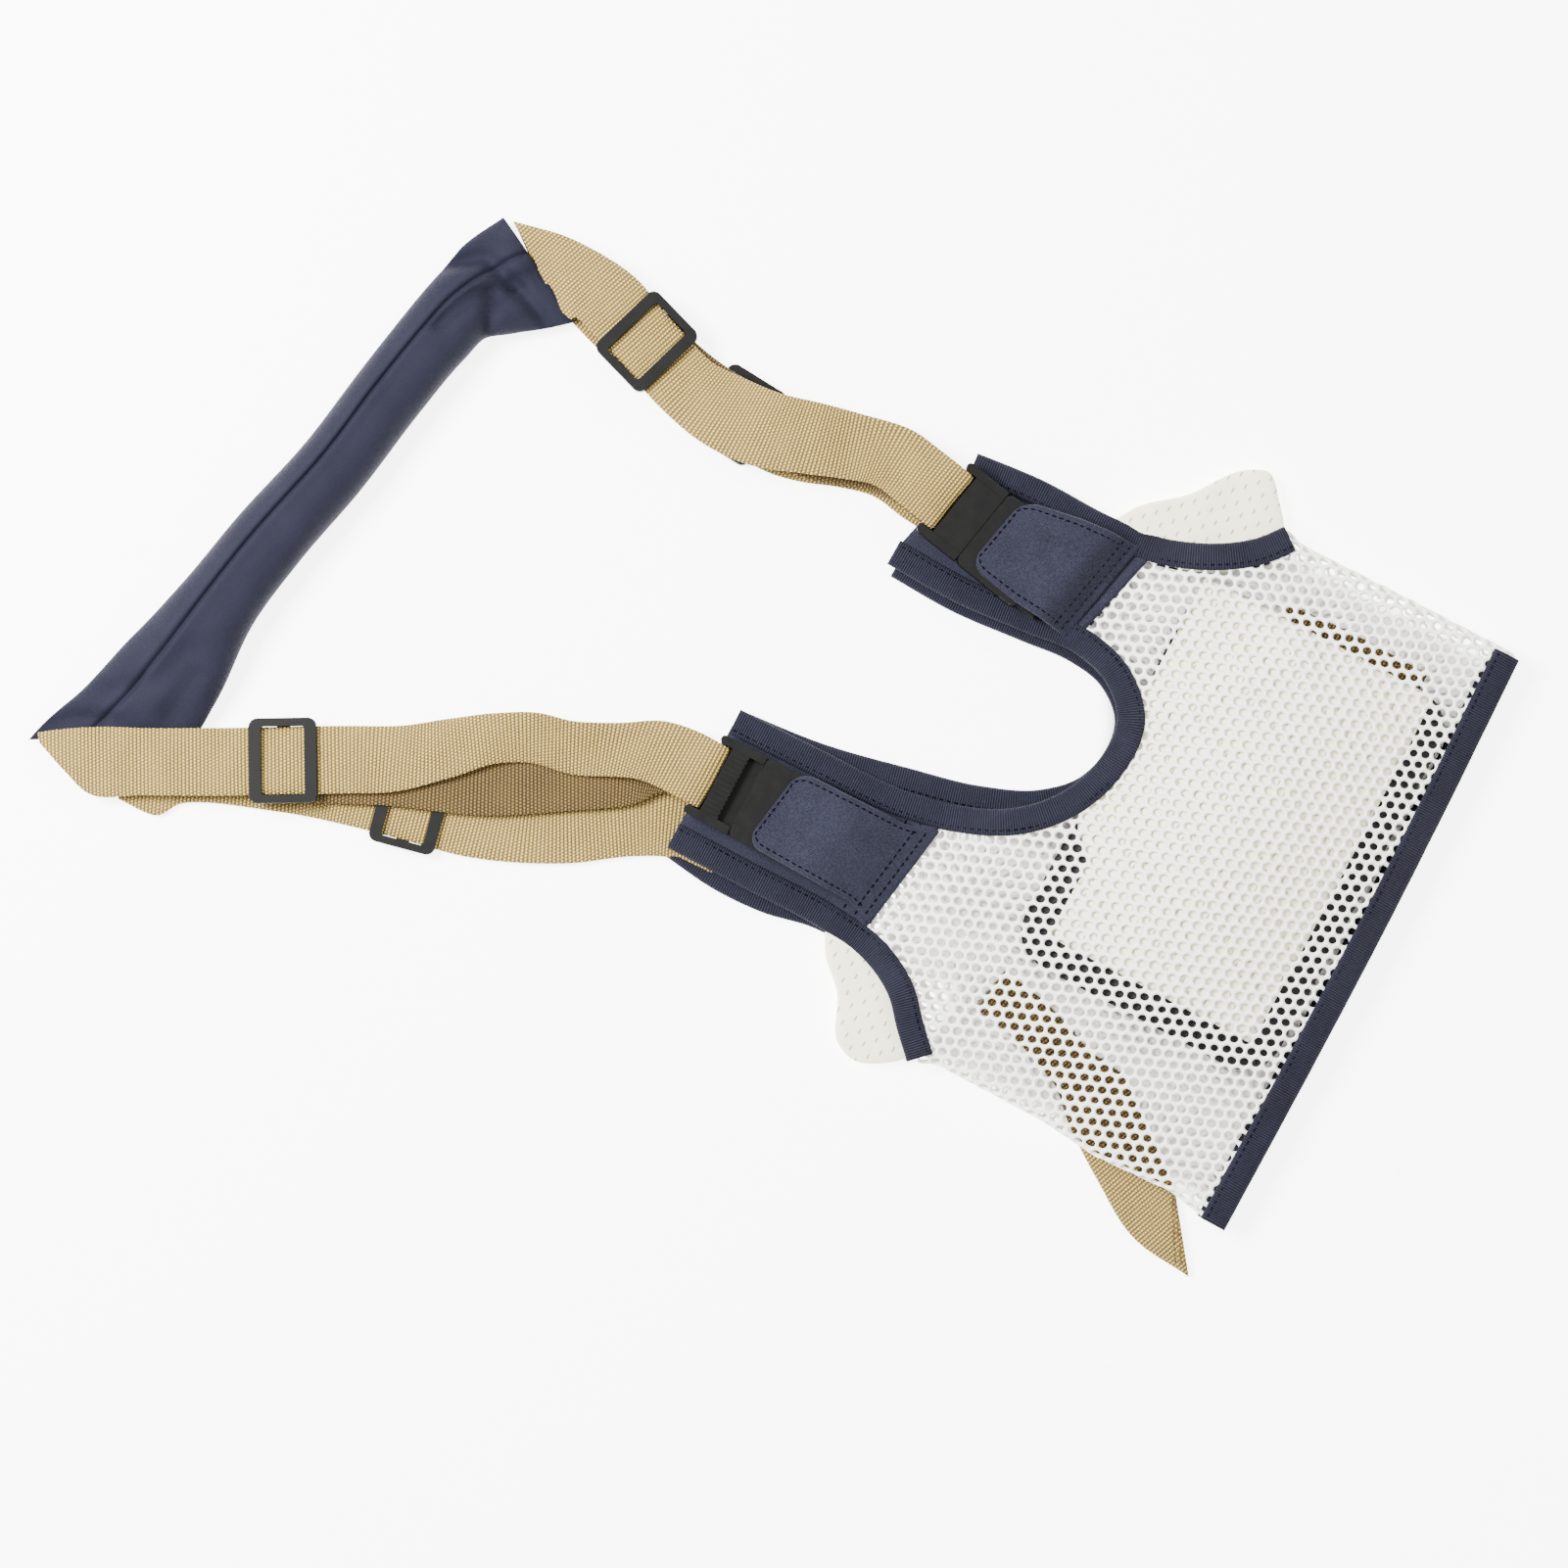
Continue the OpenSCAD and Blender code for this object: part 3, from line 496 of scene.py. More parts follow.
for name, ladder, settle, seed in (("left", back_left, 3, 5), ("right", back_right, 2, 6)):
    piece = Piece()
    strap(piece, ladder, 1.5, 3, 0.3, seed, settle=settle)
    made = piece.make(f"back_webbing_{name}", webbing, slot="tan_webbing", stands_for=[f"back_strap_{name}"])
    round(ladder_length(ladder) / 1000, 3)

# ---------- sliders and buckles ----------
# Black acetal mouldings: four tri-glide sliders, and two side-release buckles, each a plug
# with two spring arms in a socket. Their edges are slightly rounded.
plastic, shader, value = material("black_acetal", 0.40, 0.1)
spot = value.node("TexCoord", 3)
pebble = value.node("TexNoise", Vector=spot, Scale=2600, Detail=2)
worn = value.node("TexNoise", Vector=spot, Scale=160, Detail=4)
surface(value, shader, worn.blend((0.0018, 0.0018, 0.0018), (0.0044, 0.0042, 0.0039)), pebble, 0.00004, 0.35,
        worn * 0.2 + 0.34)
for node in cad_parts.values():
    if any(word in node.name for word in ("slider", "plug", "socket", "latch")):
        node.data.materials.clear()
        node.data.materials.append(plastic)
        weld = node.modifiers.new("weld", "WELD")
        weld.merge_threshold = 0.00001
        bevel = node.modifiers.new("bevel", "BEVEL")
        bevel.width = 0.0004
        bevel.segments = 2
        bevel.angle_limit = math.radians(35)

# The navy webbing loops that hold the sockets, sewn down on the front tabs under the flaps.
canvas, shader, value = material("canvas", 0.8, 0.15, 0.03)
along, across = cloth_axes(value)
twill = ((along * 0.9 + across) / 0.95).wave()
fleck = value.node("TexNoise", Vector=value.node("TexCoord", 3), Scale=1300, Detail=1)
mottle = value.node("TexNoise", Vector=value.node("TexCoord", 3), Scale=70, Detail=3)
tone = twill * 0.28 + fleck * 0.75 + mottle * 0.25
navy = tone.within(0.3, 1.0).blend((0.0030, 0.0033, 0.0080), (0.0195, 0.0200, 0.0350))
surface(value, shader, navy, twill + fleck, 0.00016, 0.7)
# Each loop is sewn down, rises over the socket's bar, and comes back to the tab under it.
for name, bar, way, offset, wide, sewn in (("left", (-58, -52), (0, -1), 0, 26, 27),
                                           ("right", (93.9, -88.3), (-0.19, -0.98), 4, 16, 14)):
    across_way = np.array((-way[1], way[0]))
    ladder = []
    for a, z in ((sewn, 7.2), (9, 7.3), (5, 9.3), (3.3, 13.2), (2.2, 15.5), (0, 16.3), (-2.2, 15.5), (-3.1, 13.2),
                 (-2.2, 11), (0, 10.1), (2.4, 8.6), (6.5, 6.9)):
        middle = np.array(bar) + a * np.array(way) + across_way * offset
        ladder.append(((*(middle + across_way * wide / 2), z), (*(middle - across_way * wide / 2), z)))
    piece = Piece()
    strap(piece, ladder, 1.4, 1.2)
    made = piece.make(f"socket_loop_{name}", canvas, slot="navy_canvas", stands_for=[f"buckle_anchor_{name}"])
    (sewn + 22) / 1000

# ---------- front and back mesh ----------
# White knitted mesh with a round hole every 6 mm, one tube folded at both sides. The front
# rises over the liner pad, and the left side stays open where the inner strap comes out.
neck_line = through([[-24, 10], [-23, -30], [-21, -76], [-16, -99], [-4, -124], [13, -139], [33, -146],
                     [52, -145], [66, -131], [71, -114], [69, -90], [66, -55], [67, -18]], 3)
arm_left = through([[-96, 10], [-96, -30], [-96, -72], [-99, -94], [-108, -111], [-120, -122], [-131, -133]], 3)
arm_right = through([[132, -31], [135, -62], [135, -100], [138, -128], [146, -148], [157, -163], [167, -171]], 3)
side_left = np.array([[-131, -133], [-125, -145], [-125, -200], [-128, -230], [-126, -268], [-130, -290]])
side_right = np.array([[167, -171], [163.5, -184], [164.5, -240], [165, -290]])
back_neck = through([[-24, 9], [-20, -30], [-11, -72], [-3, -104], [9, -130], [21, -142], [36, -147], [52, -145],
                     [64, -131], [67, -114], [65, -90], [62, -55], [63, -22]], 3)
back_arm_left = through([[-100, 9], [-103, -18], [-102, -42], [-97, -68], [-99, -94], [-108, -111], [-120, -122],
                         [-131, -133]], 3)


def beside(line, d):
    """The line moved sideways by d, to the left of its direction where d is positive."""
    way = unit(np.gradient(np.array(line)[:, :2], axis=0))
    return np.array(line)[:, :2] + d * np.stack([-way[:, 1], way[:, 0]], 1)


def eased(s):
    s = np.clip(s, 0, 1)
    return s * s * (3 - 2 * s)


def hump(s):
    return np.where(np.abs(s) >= 1, 0, (1 - s * s) ** 2)


def front_height(x, y):
    """The underside of the front layer: low at the tabs, raised over the chest, with soft folds."""
    z = 4.2 + 8 * eased((-100 - y - 0.135 * (x - 20)) / 35) + 20 * hump((x - 35) / 140) * hump((y + 222) / 88)
    for line, lift, wide in [([(60, -160), (118, -205)], 1.6, 9), ([(-62, -140), (-70, -200), (-60, -262)], 1.2, 9),
                             ([(132, -176), (108, -214), (104, -262)], 1.5, 8), ([(-104, -150), (-88, -212)], 1.1, 8)]:
        z = z + lift * near_line(x, y, line, wide) * eased((-132 - y) / 20) * eased((y + 288) / 16)
    return z


fold = 5.0  # radius of the folded sides


def front_surface(s, t):
    """A point of the front cloth, s across and t along. Beyond the side lines it turns down
    and under, to meet the back."""
    left = np.interp(-t, -side_left[:, 1], side_left[:, 0]) + fold
    right = np.interp(-t, -side_right[:, 1], side_right[:, 0]) - fold
    x = np.clip(s, left, right)
    z = front_height(x, t) + 1
    out = np.sign(s - x)
    past = np.abs(s - x)
    straight = np.maximum(z - 1 - 2 * fold, 0)
    first = np.clip(past / fold, 0, math.pi / 2)
    second = np.clip((past - fold * math.pi / 2 - straight) / fold, 0, math.pi / 2)
    under = np.clip(past - fold * math.pi - straight, 0, None)
    x = x + out * (fold * np.sin(first) - fold * (1 - np.cos(second)) - under)
    z = z - fold * (1 - np.cos(first)) - np.clip(past - fold * math.pi / 2, 0, straight) - fold * np.sin(second)
    return np.stack([x, t, z], -1)


def back_surface(s, t):
    return np.stack([s, t, 1.05 + 0 * s], -1)


def inside(polygon, x, y):
    """Whether each point lies in the polygon."""
    result = np.zeros(np.shape(x), bool)
    for (ax, ay), (bx, by) in zip(polygon, np.roll(polygon, -1, 0)):
        if ay != by:
            result ^= ((ay > y) != (by > y)) & (x < (bx - ax) * (y - ay) / (by - ay) + ax)
    return result


def seam_height(x):
    """Where the canvas tabs begin, on the left and the right of the neck."""
    return np.where(x < 20, -81 - 0.15 * (x + 140), -101.5 - 0.229 * (x - 30))


def knit(piece, cloth, belongs, pitch, hole, slant, half, seed):
    """Mesh cloth: strands round a honeycomb of holes. cloth(s, t) places it, and belongs(s, t)
    says which holes are there."""
    chance = random.Random(seed)
    c, s = math.cos(slant), math.sin(slant)
    centres = []
    for j in range(-70, 70):
        for i in range(-60, 60):
            a, b = (i + 0.5 * (j % 2)) * pitch, j * pitch * math.sqrt(3) / 2
            centres.append((20 + a * c - b * s, -200 + a * s + b * c))
    centres = np.array(centres)
    centres = centres[belongs(centres[:, 0], centres[:, 1])]
    flat, faces, corner = [], [], {}

    def shared(x, y, level):
        key = (round(x * 20), round(y * 20), level)
        if key not in corner:
            corner[key] = len(flat)
            flat.append((x, y, level * half))
        return corner[key]

    for cx, cy in centres:
        size = hole * chance.uniform(0.93, 1.07)
        lean, squeeze = chance.uniform(-0.3, 0.3), chance.uniform(0.9, 1.04)
        rows = [[], [], [], [], []]
        for k in range(12):
            angle = math.radians(30 * k)
            reach = pitch / 2 if k % 2 == 0 else pitch / math.sqrt(3)
            dx, dy = math.cos(angle + slant), math.sin(angle + slant)
            rows[0].append(shared(cx + reach * dx, cy + reach * dy, 1))
            rows[4].append(shared(cx + reach * dx, cy + reach * dy, -1))
            oval = size * (1 + 0.10 * math.cos(2 * (angle - lean))) * squeeze
            for row, share, level in ((1, 0.42, 0.86), (2, 0.0, 0.0), (3, 0.42, -0.86)):
                r = oval + (reach - oval) * share
                rows[row].append(len(flat))
                flat.append((cx + r * dx, cy + r * dy, level * half))
        for a, b in zip(rows[:-1], rows[1:]):
            faces += [[a[k], a[(k + 1) % 12], b[(k + 1) % 12], b[k]] for k in range(12)]
    flat = np.array(flat)
    here = cloth(flat[:, 0], flat[:, 1])
    ahead = cloth(flat[:, 0] + 0.4, flat[:, 1]) - cloth(flat[:, 0] - 0.4, flat[:, 1])
    beyond = cloth(flat[:, 0], flat[:, 1] + 0.4) - cloth(flat[:, 0], flat[:, 1] - 0.4)
    piece.add(here + unit(np.cross(ahead, beyond)) * flat[:, 2:3], faces, flat[:, :2])


mesh_look, shader, value = material("white_knit", 0.85, 0.2, 0.05)
along, across = cloth_axes(value)
loops = (along / 0.7).wave() * ((across / 0.55) + (along / 0.7).floor() * 0.5).wave()
soft = value.node("TexNoise", Vector=value.node("TexCoord", 3), Scale=800, Detail=2)
white = (loops * 0.6 + soft * 0.4).blend((0.82, 0.80, 0.75), (0.96, 0.95, 0.92))
surface(value, shader, white, loops + soft, 0.00012, 0.6)

# Both layers end under the bindings. The front goes on past the sides, by the cloth in its fold.
spare = fold * math.pi + 2.2 - fold
front_edge = np.vstack([beside(neck_line, -5), beside(arm_right, -5), side_right[1:] + (spare, 0), (160, -291),
                        (-128, -292), (side_left[1:] - (spare, 0))[::-1], beside(arm_left, 5)[::-1]])
back_edge = np.vstack([beside(back_neck, -5), beside(arm_right, -5), side_right[1:] - (fold + 2, 0), (158, -291),
                       (-126, -292), (side_left[1:] + (fold + 2, 0))[::-1], beside(back_arm_left, 5)[::-1]])


def in_front(x, y):
    """All of the front but the slit in its left fold, where the inner strap comes out."""
    slit = (y < -224) & (x < np.interp(-y, -side_left[:, 1], side_left[:, 0]) + fold - 10)
    return inside(front_edge, x, y) & (y < seam_height(x) + 4) & ~slit


def in_back(x, y):
    return inside(back_edge, x, y) & (y < seam_height(x) + 4)


piece = Piece()
knit(piece, front_surface, in_front, 5.7, 1.95, math.radians(-68), 0.95, 1)
front_mesh = piece.make("front_mesh", mesh_look, slot="white_mesh", stands_for=["front_panel"])
piece = Piece()
knit(piece, back_surface, in_back, 5.7, 1.85, math.radians(-74), 0.9, 2)
back_mesh = piece.make("back_mesh", mesh_look, slot="white_mesh", stands_for=["back_panel"])

# ---------- canvas tabs ----------
# Navy twill, in the front and the back layer of each shoulder. Each tab is sewn to the mesh along a
# slanting seam, and on the front it is topstitched there in two rows.
thread, shader, value = material("navy_thread", 0.8, 0.02)
twist = value.node("TexNoise", Vector=value.node("TexCoord", 3), Scale=2500, Detail=1)
surface(value, shader, twist.blend((0.0004, 0.0004, 0.0012), (0.0014, 0.0015, 0.0040)), twist, 0.0001, 0.5)


def plate(piece, grid, places, thick, look=0):
    """A sheet of cloth with a closed, thinned rim, from a grid of points on its middle."""
    rows, columns = grid.shape[:2]
    normal = unit(np.cross(np.gradient(grid, axis=1), np.gradient(grid, axis=0)))
    if normal[rows // 2, columns // 2, 2] < 0:
        normal = -normal
    rim = np.ones((rows, columns))
    rim[0], rim[-1], rim[:, 0], rim[:, -1] = 0.3, 0.3, 0.3, 0.3
    offset = normal * (rim * thick / 2)[..., None]
    count = rows * columns
    cell = lambda i, j: i * columns + j
    faces = []
    for i in range(rows - 1):
        for j in range(columns - 1):
            quad = [cell(i, j), cell(i, j + 1), cell(i + 1, j + 1), cell(i + 1, j)]
            faces += [quad, [count + k for k in quad[::-1]]]
    loop = ([cell(0, j) for j in range(columns)] + [cell(i, columns - 1) for i in range(1, rows)]
            + [cell(rows - 1, j) for j in range(columns - 2, -1, -1)] + [cell(i, 0) for i in range(rows - 2, 0, -1)])
    faces += [[a, count + a, count + b, b] for a, b in zip(loop, loop[1:] + loop[:1])]
    piece.add(np.vstack([(grid + offset).reshape(-1, 3), (grid - offset).reshape(-1, 3)]), faces,
              np.vstack([places.reshape(-1, 2)] * 2), look)


def stitches(piece, line, up, look, pitch=3.4, length=2.5, wide=0.75):
    """A row of sewn stitches along a line of points, each standing a little out of the cloth."""
    line = np.array(line, float)
    travel = np.concatenate([[0], np.cumsum(np.linalg.norm(np.diff(line, axis=0), axis=1))])
    for start in np.arange(0.8, travel[-1] - length, pitch):
        ends = [np.array([np.interp(d, travel, line[:, k]) for k in range(3)]) for d in (start, start + length)]
        way = unit(ends[1] - ends[0])
        out = np.array(up, float)
        side = unit(np.cross(out, way))
        points, faces = [ends[0]], []
        for share in (0.2, 0.5, 0.8):
            at = ends[0] + (ends[1] - ends[0]) * share
            bulge = 1.0 if share == 0.5 else 0.8
            for angle in range(0, 360, 60):
                a = math.radians(angle)
                points.append(at + (side * math.cos(a) + out * math.sin(a)) * wide / 2 * bulge)
        points.append(ends[1])
        for ring in (0, 1):
            faces += [[1 + ring * 6 + k, 1 + ring * 6 + (k + 1) % 6, 7 + ring * 6 + (k + 1) % 6, 7 + ring * 6 + k]
                      for k in range(6)]
        faces += [[0, 1 + (k + 1) % 6, 1 + k] for k in range(6)] + [[19, 13 + k, 13 + (k + 1) % 6] for k in range(6)]
        piece.add(points, faces, [(p[0], p[1]) for p in points], look)


def at_height(line, y):
    """Where a line that runs down the page has that y."""
    upto = np.argmin(np.diff(line[:, 1], append=line[-1, 1] - 1) < 0) or len(line)
    part = line[:upto]
    return np.interp(-y, -part[:, 1], part[:, 0])


SPREAD = np.array([0, 0.015, 0.05, 0.12, 0.22, 0.32, 0.42, 0.5, 0.58, 0.68, 0.78, 0.88, 0.95, 0.985, 1])


def tab(piece, low_left, low_right, high_left, high_right, left_line, right_line, height, thick, seam_lift):
    """A tab between two bound edges, from its seam up to its open end."""
    grid = np.zeros((31, len(SPREAD), 3))
    for i, v in enumerate(np.linspace(0, 1, 31) ** 1.1):
        yl, yr = low_left + (high_left - low_left) * v, low_right + (high_right - low_right) * v
        xl, xr = at_height(left_line, yl), at_height(right_line, yr)
        x = xl + (xr - xl) * SPREAD
        y = yl + (yr - yl) * SPREAD
        lift = seam_lift * (1 - eased(v * abs(high_left - low_left) / 9))
        grid[i] = np.stack([x, y, height(x, y) + lift], 1)
    plate(piece, grid, grid[..., :2], thick)
    return grid


# the bound edges that a tab lies between; the neck's right side runs upward, so it is turned round
edges_front = {"left": (beside(arm_left, 8.5), beside(neck_line, -8.5)),
               "right": (beside(neck_line[40:], -8.5)[::-1], beside(arm_right, -8.5))}
edges_back = {"left": (beside(back_arm_left, 8.5), beside(back_neck, -8.5)),
              "right": (beside(back_neck[40:], -8.5)[::-1], beside(arm_right, -8.5))}
for name, lows, highs in (("left", (-87.5, -97), (10, 10)), ("right", (-112, -124.5), (-18.5, -30.5))):
    piece = Piece()
    grid = tab(piece, *lows, *highs, *edges_front[name], lambda x, y: front_height(x, y) + 1.1, 1.7, 1.2)
    for row in (3, 5):
        stitches(piece, grid[row, 1:-1] + (0, 0, 0.95), (0, 0, 1), 1)
    made = piece.make(f"front_canvas_{name}", canvas, thread, slot="navy_canvas", stands_for=[f"front_tab_{name}"])
for name, lows, highs in (("left", (-87.5, -97), (9, 9)), ("right", (-112, -124.5), (-22, -30.5))):
    piece = Piece()
    tab(piece, *lows, *highs, *edges_back[name], lambda x, y: 1.15 + 0 * x, 2.0, 0.0)
    made = piece.make(f"back_canvas_{name}", canvas, slot="navy_canvas", stands_for=[f"back_tab_{name}"])

# ---------- edge bindings ----------
# Navy ribbed tape, 25 mm wide, folded over each cut edge of the mesh and the tabs and held by one
# row of stitches near its inner edge.
tape, shader, value = material("binding_tape", 0.78, 0.15, 0.02)
along, across = cloth_axes(value)
ribs = (along / 1.15).wave() * 0.75 + (across / 0.9 + (along / 1.15).floor() * 0.5).wave() * 0.25
fleck = value.node("TexNoise", Vector=value.node("TexCoord", 3), Scale=1100, Detail=1)
mottle = value.node("TexNoise", Vector=value.node("TexCoord", 3), Scale=90, Detail=3)
tone = ribs * 0.65 + fleck * 0.3 + mottle * 0.25
navy = tone.within(0.25, 1.0).blend((0.0008, 0.0009, 0.0030), (0.0160, 0.0165, 0.0315))
surface(value, shader, navy, ribs, 0.0005, 1.0)

tape_width = 12.5  # as it lies folded
hem = through([[163, -295], [90, -296.8], [20, -297.8], [-60, -297.8], [-131, -297]], 4)
bindings = {"front": [], "back": []}
for name, layer, line, inward in (
        ("neck_tape_front", "front", neck_line, -1), ("arm_tape_front_left", "front", arm_left, 1),
        ("arm_tape_front_right", "front", arm_right, -1), ("hem_tape_front", "front", hem, -1),
        ("neck_tape_back", "back", back_neck, -1), ("arm_tape_back_left", "back", back_arm_left, 1),
        ("arm_tape_back_right", "back", arm_right, -1), ("hem_tape_back", "back", hem, -1)):
    piece = Piece()
    edges = []
    for d in (0, inward * tape_width):
        edge = beside(line, d)
        z = front_height(edge[:, 0], edge[:, 1]) + (2.2 if d else 1.7) if layer == "front" else np.full(len(edge), 1.75)
        edges.append(np.column_stack([edge, z]))
    if inward > 0:
        edges.reverse()
    strap(piece, list(zip(*edges)), 3.3, 3.5, 0.35, len(name))
    sewn = beside(line, inward * (tape_width - 2.4))
    z = front_height(sewn[:, 0], sewn[:, 1]) + 3.55 if layer == "front" else np.full(len(sewn), 3.4)
    stitches(piece, np.column_stack([sewn, z]), (0, 0, 1), 1)
    node = name.replace("arm_tape", "armhole_tape").replace("tape", "binding")
    made = piece.make(name, tape, thread, slot="navy_tape", stands_for=[node])
    bindings[layer].append(made)

# ---------- flaps ----------
# A navy canvas flap lies over each buckle, sewn down at the seam with two rows of stitches and
# topstitched round its rounded free end.
for name, origin, length, base, shoulder, tip, slant, climb in (
        ("left", (-57, -93), 69, 26.5, (14, 21.7), 20.5, -9, 36),
        ("right", (102, -112), 56.5, 26.5, (30, 24), 19, -12, 17)):
    top, low, round_ = 19.6, 7.4, 8.0
    rows = np.concatenate([[0, 0.6], np.linspace(2, length - round_, 24),
                           length - round_ + round_ * np.sin(np.linspace(0.15, math.pi / 2, 10))])
    grid = np.zeros((len(rows), len(SPREAD), 3))
    places = np.zeros((len(rows), len(SPREAD), 2))
    for i, v in enumerate(rows):
        half = np.interp(v, [0, shoulder[0], length], [base, shoulder[1], tip])
        over = max(0.0, v - (length - round_))
        half -= round_ - math.sqrt(max(0.0, round_ ** 2 - over ** 2))
        x = -half + 2 * half * SPREAD
        y = v + math.tan(math.radians(slant)) * x
        z = np.interp(v, [0, 3, climb * 0.8, climb, length], [low, low + 0.8, top - 1.5, top, top - 0.3]) + 0 * x
        z -= 0.9 * eased((np.abs(x) - tip + 5) / 6) * eased(v / 12)
        z += [0.5 * noise.noise(Vector((a / 13, v / 16, length))) for a in x]
        grid[i] = np.stack([origin[0] + x, origin[1] + y, z], 1)
        places[i] = np.stack([x, y], 1)
    piece = Piece()
    plate(piece, grid, places, 1.8)
    inner = 2.6 / (2 * tip)
    sides = np.vstack([[[np.interp(inner, SPREAD, row[:, k]) for k in range(3)] for row in grid[4:-3]],
                       [[np.interp(s, SPREAD, grid[-5][:, k]) for k in range(3)] for s in np.linspace(0.16, 0.84, 9)],
                       [[np.interp(1 - inner, SPREAD, row[:, k]) for k in range(3)] for row in grid[4:-3][::-1]]])
    stitches(piece, sides + (0, 0, 1.0), (0, 0, 1), 1)
    for row in (3, 5):
        stitches(piece, grid[row, 1:-1] + (0, 0, 1.0), (0, 0, 1), 1)
    made = piece.make(f"canvas_flap_{name}", canvas, thread, body=None, slot="navy_canvas",
                      stands_for=[f"flap_{name}"])
    length / 1000
    way = Vector((math.sin(math.radians(-slant)), math.cos(math.radians(slant)), 0))
    start = Vector(placed(*origin, low))
    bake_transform(made)

# ---------- liner ----------
# A thin cream pad under the raised chest, with a black tape sewn round its edge, which shows
# through the holes of the mesh.
cream, shader, value = material("cream_spacer", 0.85, 0.2, 0.05)
along, across = cloth_axes(value)
row = across / 4.4
step_along = row.floor() * 0.5 + along / 8.6
dash = step_along.from_whole().within(0.33, 0.40) * row.from_whole().within(0.38, 0.44)
knit_grain = value.node("TexNoise", Vector=value.node("TexCoord", 3), Scale=1000, Detail=2)
surface(value, shader, dash.blend((0.86, 0.82, 0.63), (0.46, 0.40, 0.24)), knit_grain * 0.25 - dash, 0.0004, 0.8)
# the tape round the pad
black_tape, shader, value = material("edging_tape", 0.8, 0.2)
along, across = cloth_axes(value)
ribs = (along / 1.2).wave()
surface(value, shader, ribs.blend((0.010, 0.010, 0.010), (0.025, 0.024, 0.023)), ribs, 0.0002, 0.6)

box = (-64, -281, 130, -149.5)
piece = Piece()
grid = np.array([[(x, y) for x in np.linspace(box[0] + 14, box[2] - 0.5, 44)] for y in np.linspace(0, 1, 28)])
grid[..., 1] = box[1] + 13 + (box[3] - box[1] - 27 + 13 * eased((grid[..., 0] + 14) / 18)) * grid[..., 1]
inner_z = np.stack([grid[..., 0], grid[..., 1], front_height(grid[..., 0], grid[..., 1]) - 1.0], 2)
plate(piece, inner_z, grid, 1.4)
liner = piece.make("liner_cloth", cream, slot="cream_knit", stands_for=["liner_pad"])
corner = 18.0
loop = []
order = [(box[2] - corner, box[3] - corner, 0), (box[0] + corner, box[3] - corner, 90),
         (box[0] + corner, box[1] + corner, 180), (box[2] - corner, box[1] + corner, 270)]
for cx, cy, first in order:
    for a in (first, first + 30, first + 60, first + 90):
        loop.append((cx + corner * math.cos(math.radians(a)), cy + corner * math.sin(math.radians(a))))
loop.append(loop[0])
outer = []
for (ax, ay), (bx, by) in zip(loop[:-1], loop[1:]):
    n = max(1, int(math.hypot(bx - ax, by - ay) / 6))
    outer += [(ax + (bx - ax) * i / n, ay + (by - ay) * i / n) for i in range(n)]
outer = np.array(outer + [outer[0]])
inner_loop = beside(outer, 15)
piece = Piece()
edges = [np.column_stack([e, front_height(e[:, 0], e[:, 1]) - 2.6]) for e in (inner_loop, outer)]
strap(piece, list(zip(*edges)), 1.5, 5)
edging = piece.make("liner_tape", black_tape, slot="black_tape", stands_for=["liner_edging"])

# ---------- arm guards ----------
# A soft pad of cream spacer cloth, sewn into each armhole between the layers, where it stands out
# past the binding.


def pillow(piece, outline, height, half, crown):
    """A closed pad inside an outline, from its rim in to its middle, with a wavy face."""
    outline = np.array(outline)
    centre = outline.mean(0)
    shares = [1, 0.99, 0.965, 0.9, 0.75, 0.5, 0.25]
    points, faces = [], []
    n = len(outline)
    for face in (1, -1):
        for share in shares if face > 0 else shares[1:]:
            for x, y in centre + (outline - centre) * share:
                bulge = half * math.sqrt(1 - share ** 14)
                wave = crown * noise.noise(Vector((x / 15, y / 15, 1.7)))
                points.append((x, y, height + face * bulge + wave))
        points.append((*centre, height + face * half + crown * noise.noise(Vector((*(centre / 15), 1.7)))))
    rows = len(shares)
    top_row = lambda r: [r * n + k for k in range(n)]
    below = rows * n + 1
    under_row = lambda r: top_row(0) if r == 0 else [below + (r - 1) * n + k for k in range(n)]
    for get, tip in ((top_row, rows * n), (under_row, below + (rows - 1) * n)):
        for r in range(rows - 1):
            a, b = get(r), get(r + 1)
            faces += [[a[k], a[(k + 1) % n], b[(k + 1) % n], b[k]] for k in range(n)]
        a = get(rows - 1)
        faces += [[a[k], a[(k + 1) % n], tip] for k in range(n)]
    piece.add(points, faces, [(p[0], p[1]) for p in points])


for name, outline in (
        ("left", [[-91, -70], [-105, -77], [-118, -90], [-139, -102], [-142, -110], [-137, -124], [-127, -134],
                  [-106, -124], [-93, -104], [-88, -84], [-91, -70]]),
        ("right", [[128, -98], [144, -107], [160, -125], [184, -145], [187.5, -153], [178, -164], [162, -174],
                   [144, -166], [131, -146], [126, -118], [128, -98]])):
    piece = Piece()
    pillow(piece, through(outline, 4)[:-1], 5.4, 1.7, 1.4)
    made = piece.make(f"guard_{name}", cream, slot="cream_knit", stands_for=[f"arm_guard_{name}"])
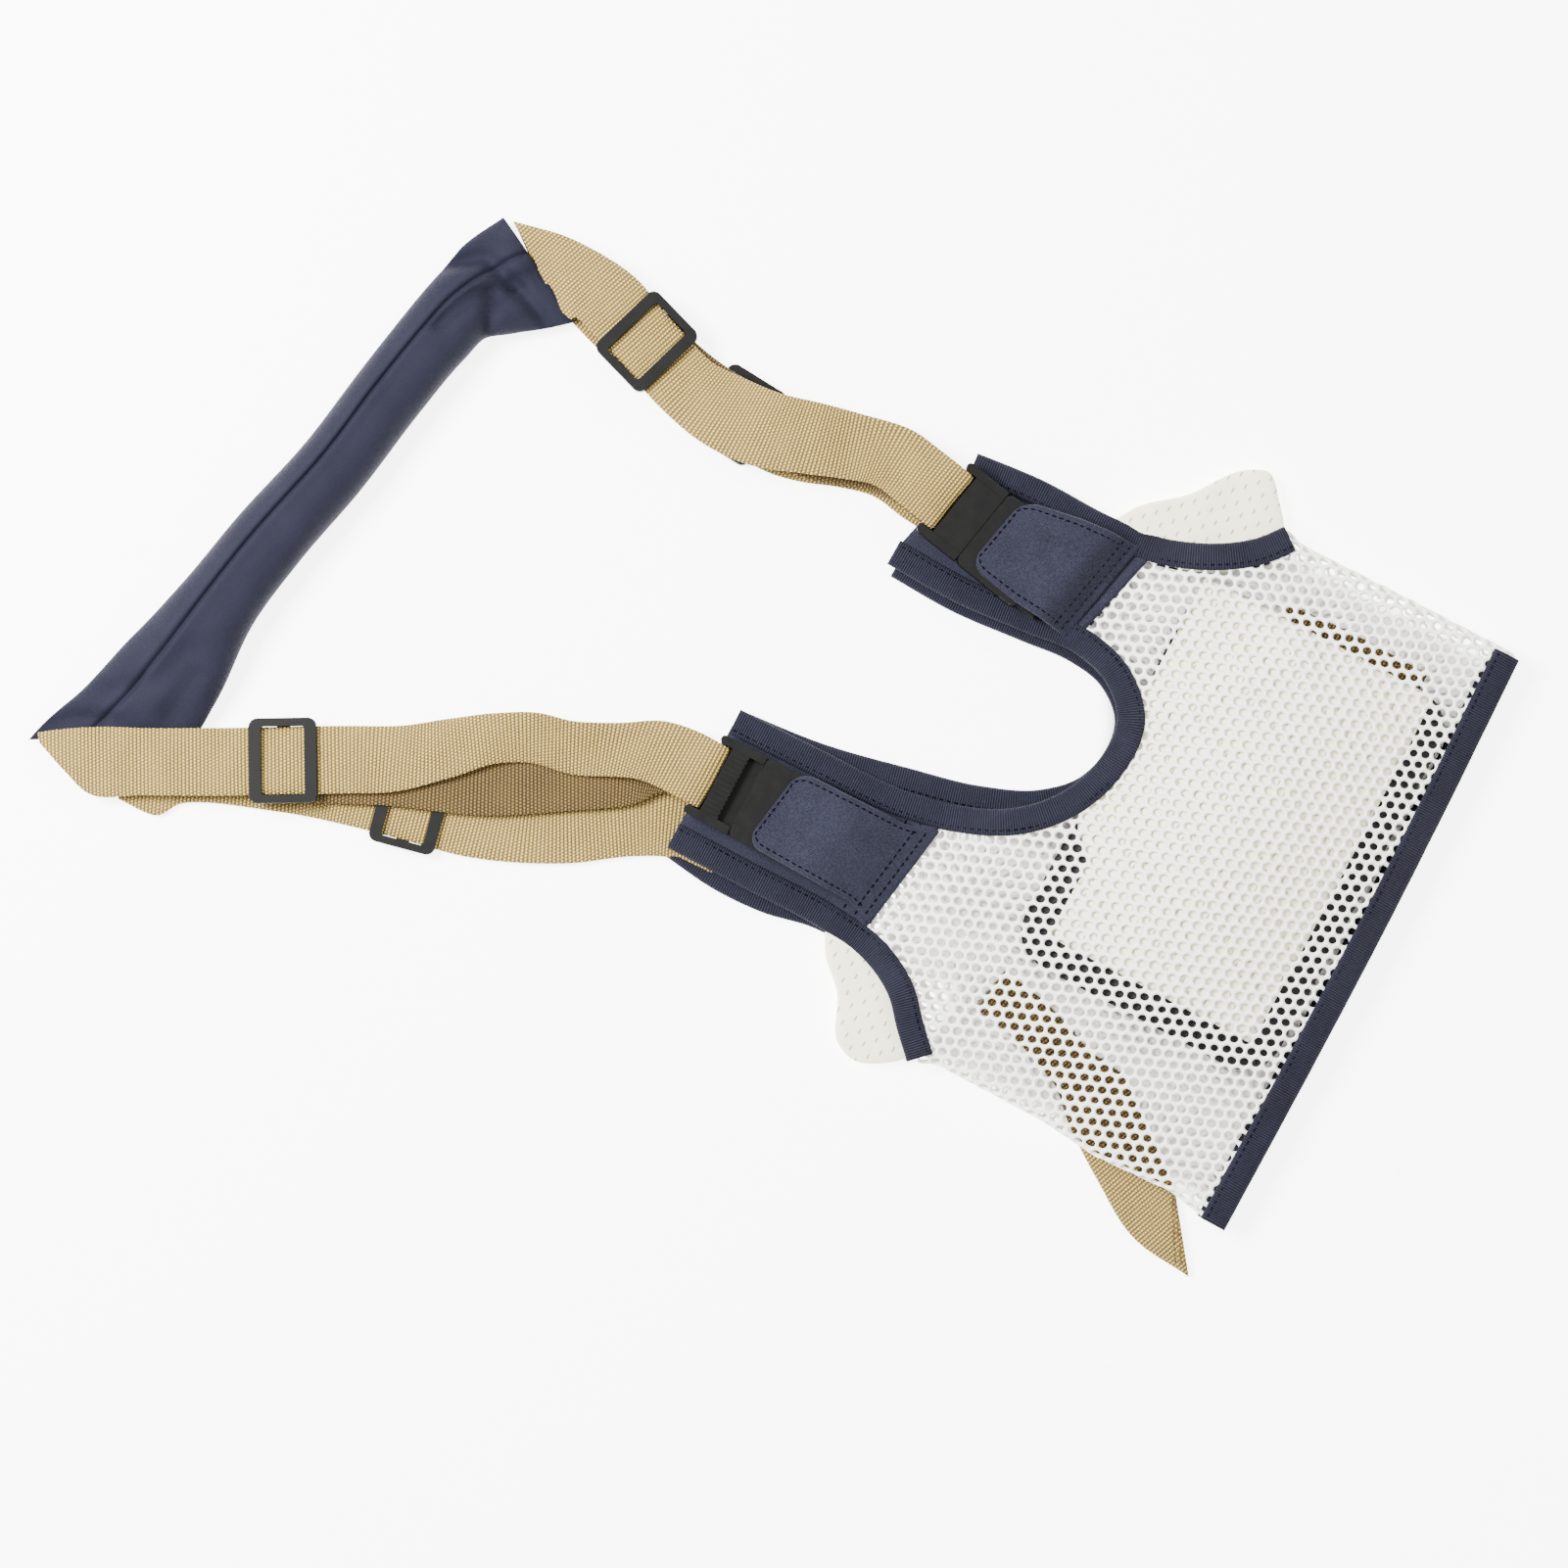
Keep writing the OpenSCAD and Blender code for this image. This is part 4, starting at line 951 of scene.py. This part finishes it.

# ---------- inner straps ----------
# Two lengths of tan webbing between the layers. The left one comes out at the side, its cut
# end turned under and sewn with two rows. What lies inside the vest takes the darker copy of
# the webbing: painted shade.
gold_thread, shader, value = material("gold_thread", 0.6, 0.3)
twist = value.node("TexNoise", Vector=value.node("TexCoord", 3), Scale=2500, Detail=1)
surface(value, shader, twist.blend((0.04, 0.022, 0.006), (0.14, 0.085, 0.025)), twist, 0.0001, 0.5)


def rungs_along(path, wide):
    """The ladder of a band of that width along a path of x, y, z."""
    p = np.array(path, float)
    way = unit(np.gradient(p[:, :2], axis=0))
    left = np.stack([-way[:, 1], way[:, 0], 0 * way[:, 0]], 1) * wide / 2
    return [(a + b, a - b) for a, b in zip(p, left)]


left_inner = rungs_along(through([[-84, -152, 3.1], [-88, -175, 3.1], [-97, -200, 3.1]], 12), 22)
left_inner += [((-90, -224, 3.1), (-121, -212, 3.1)), ((-106, -246, 3.1), (-138, -236, 3.1)),
               ((-117, -260, 3.3), (-154, -264, 3.0)), ((-123, -268, 3.6), (-157.5, -294, 2.4))]
right_inner = rungs_along(through([[122, -190, 3.1], [124, -215, 3.1], [124, -262, 3.1]], 12), 31)
for name, ladder in (("left", left_inner), ("right", right_inner)):
    piece = Piece()
    shown = 4 if name == "left" else len(ladder) - 1
    # up to rung shown the strap lies inside the vest, in the darker copy of the webbing: painted shade
    strap(piece, ladder[:shown + 1], 1.5, 3, 0.25, 9, look=2)
    middle = np.array(ladder).mean(1)
    length = np.linalg.norm(np.diff(middle, axis=0), axis=1).sum()
    if name == "left":
        middle, side, up, across_width = strap(piece, ladder[shown:], 1.5, 3, 0.25, 9, settle=0)
        # what lies inside the vest takes the darker copy of the webbing: painted shade
        for i, face in enumerate(piece.faces):
            if max(piece.points[k][0] for k in face) > -122:
                piece.looks[i] = 2
        for back in (2, 3):
            a = middle[-back] + side[-back] * across_width[-back] * 0.46 + up[-back] * 0.8
            b = middle[-back] - side[-back] * across_width[-back] * 0.46 + up[-back] * 0.8
            stitches(piece, [a, b], (0, 0, 1), 1, 2.6, 2.0, 1.2)
    made = piece.make(f"inner_webbing_{name}", webbing, gold_thread, webbing_back, slot="tan_webbing",
                      stands_for=[f"inner_strap_{name}"])

# ---------- size ---------------------
low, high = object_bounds()
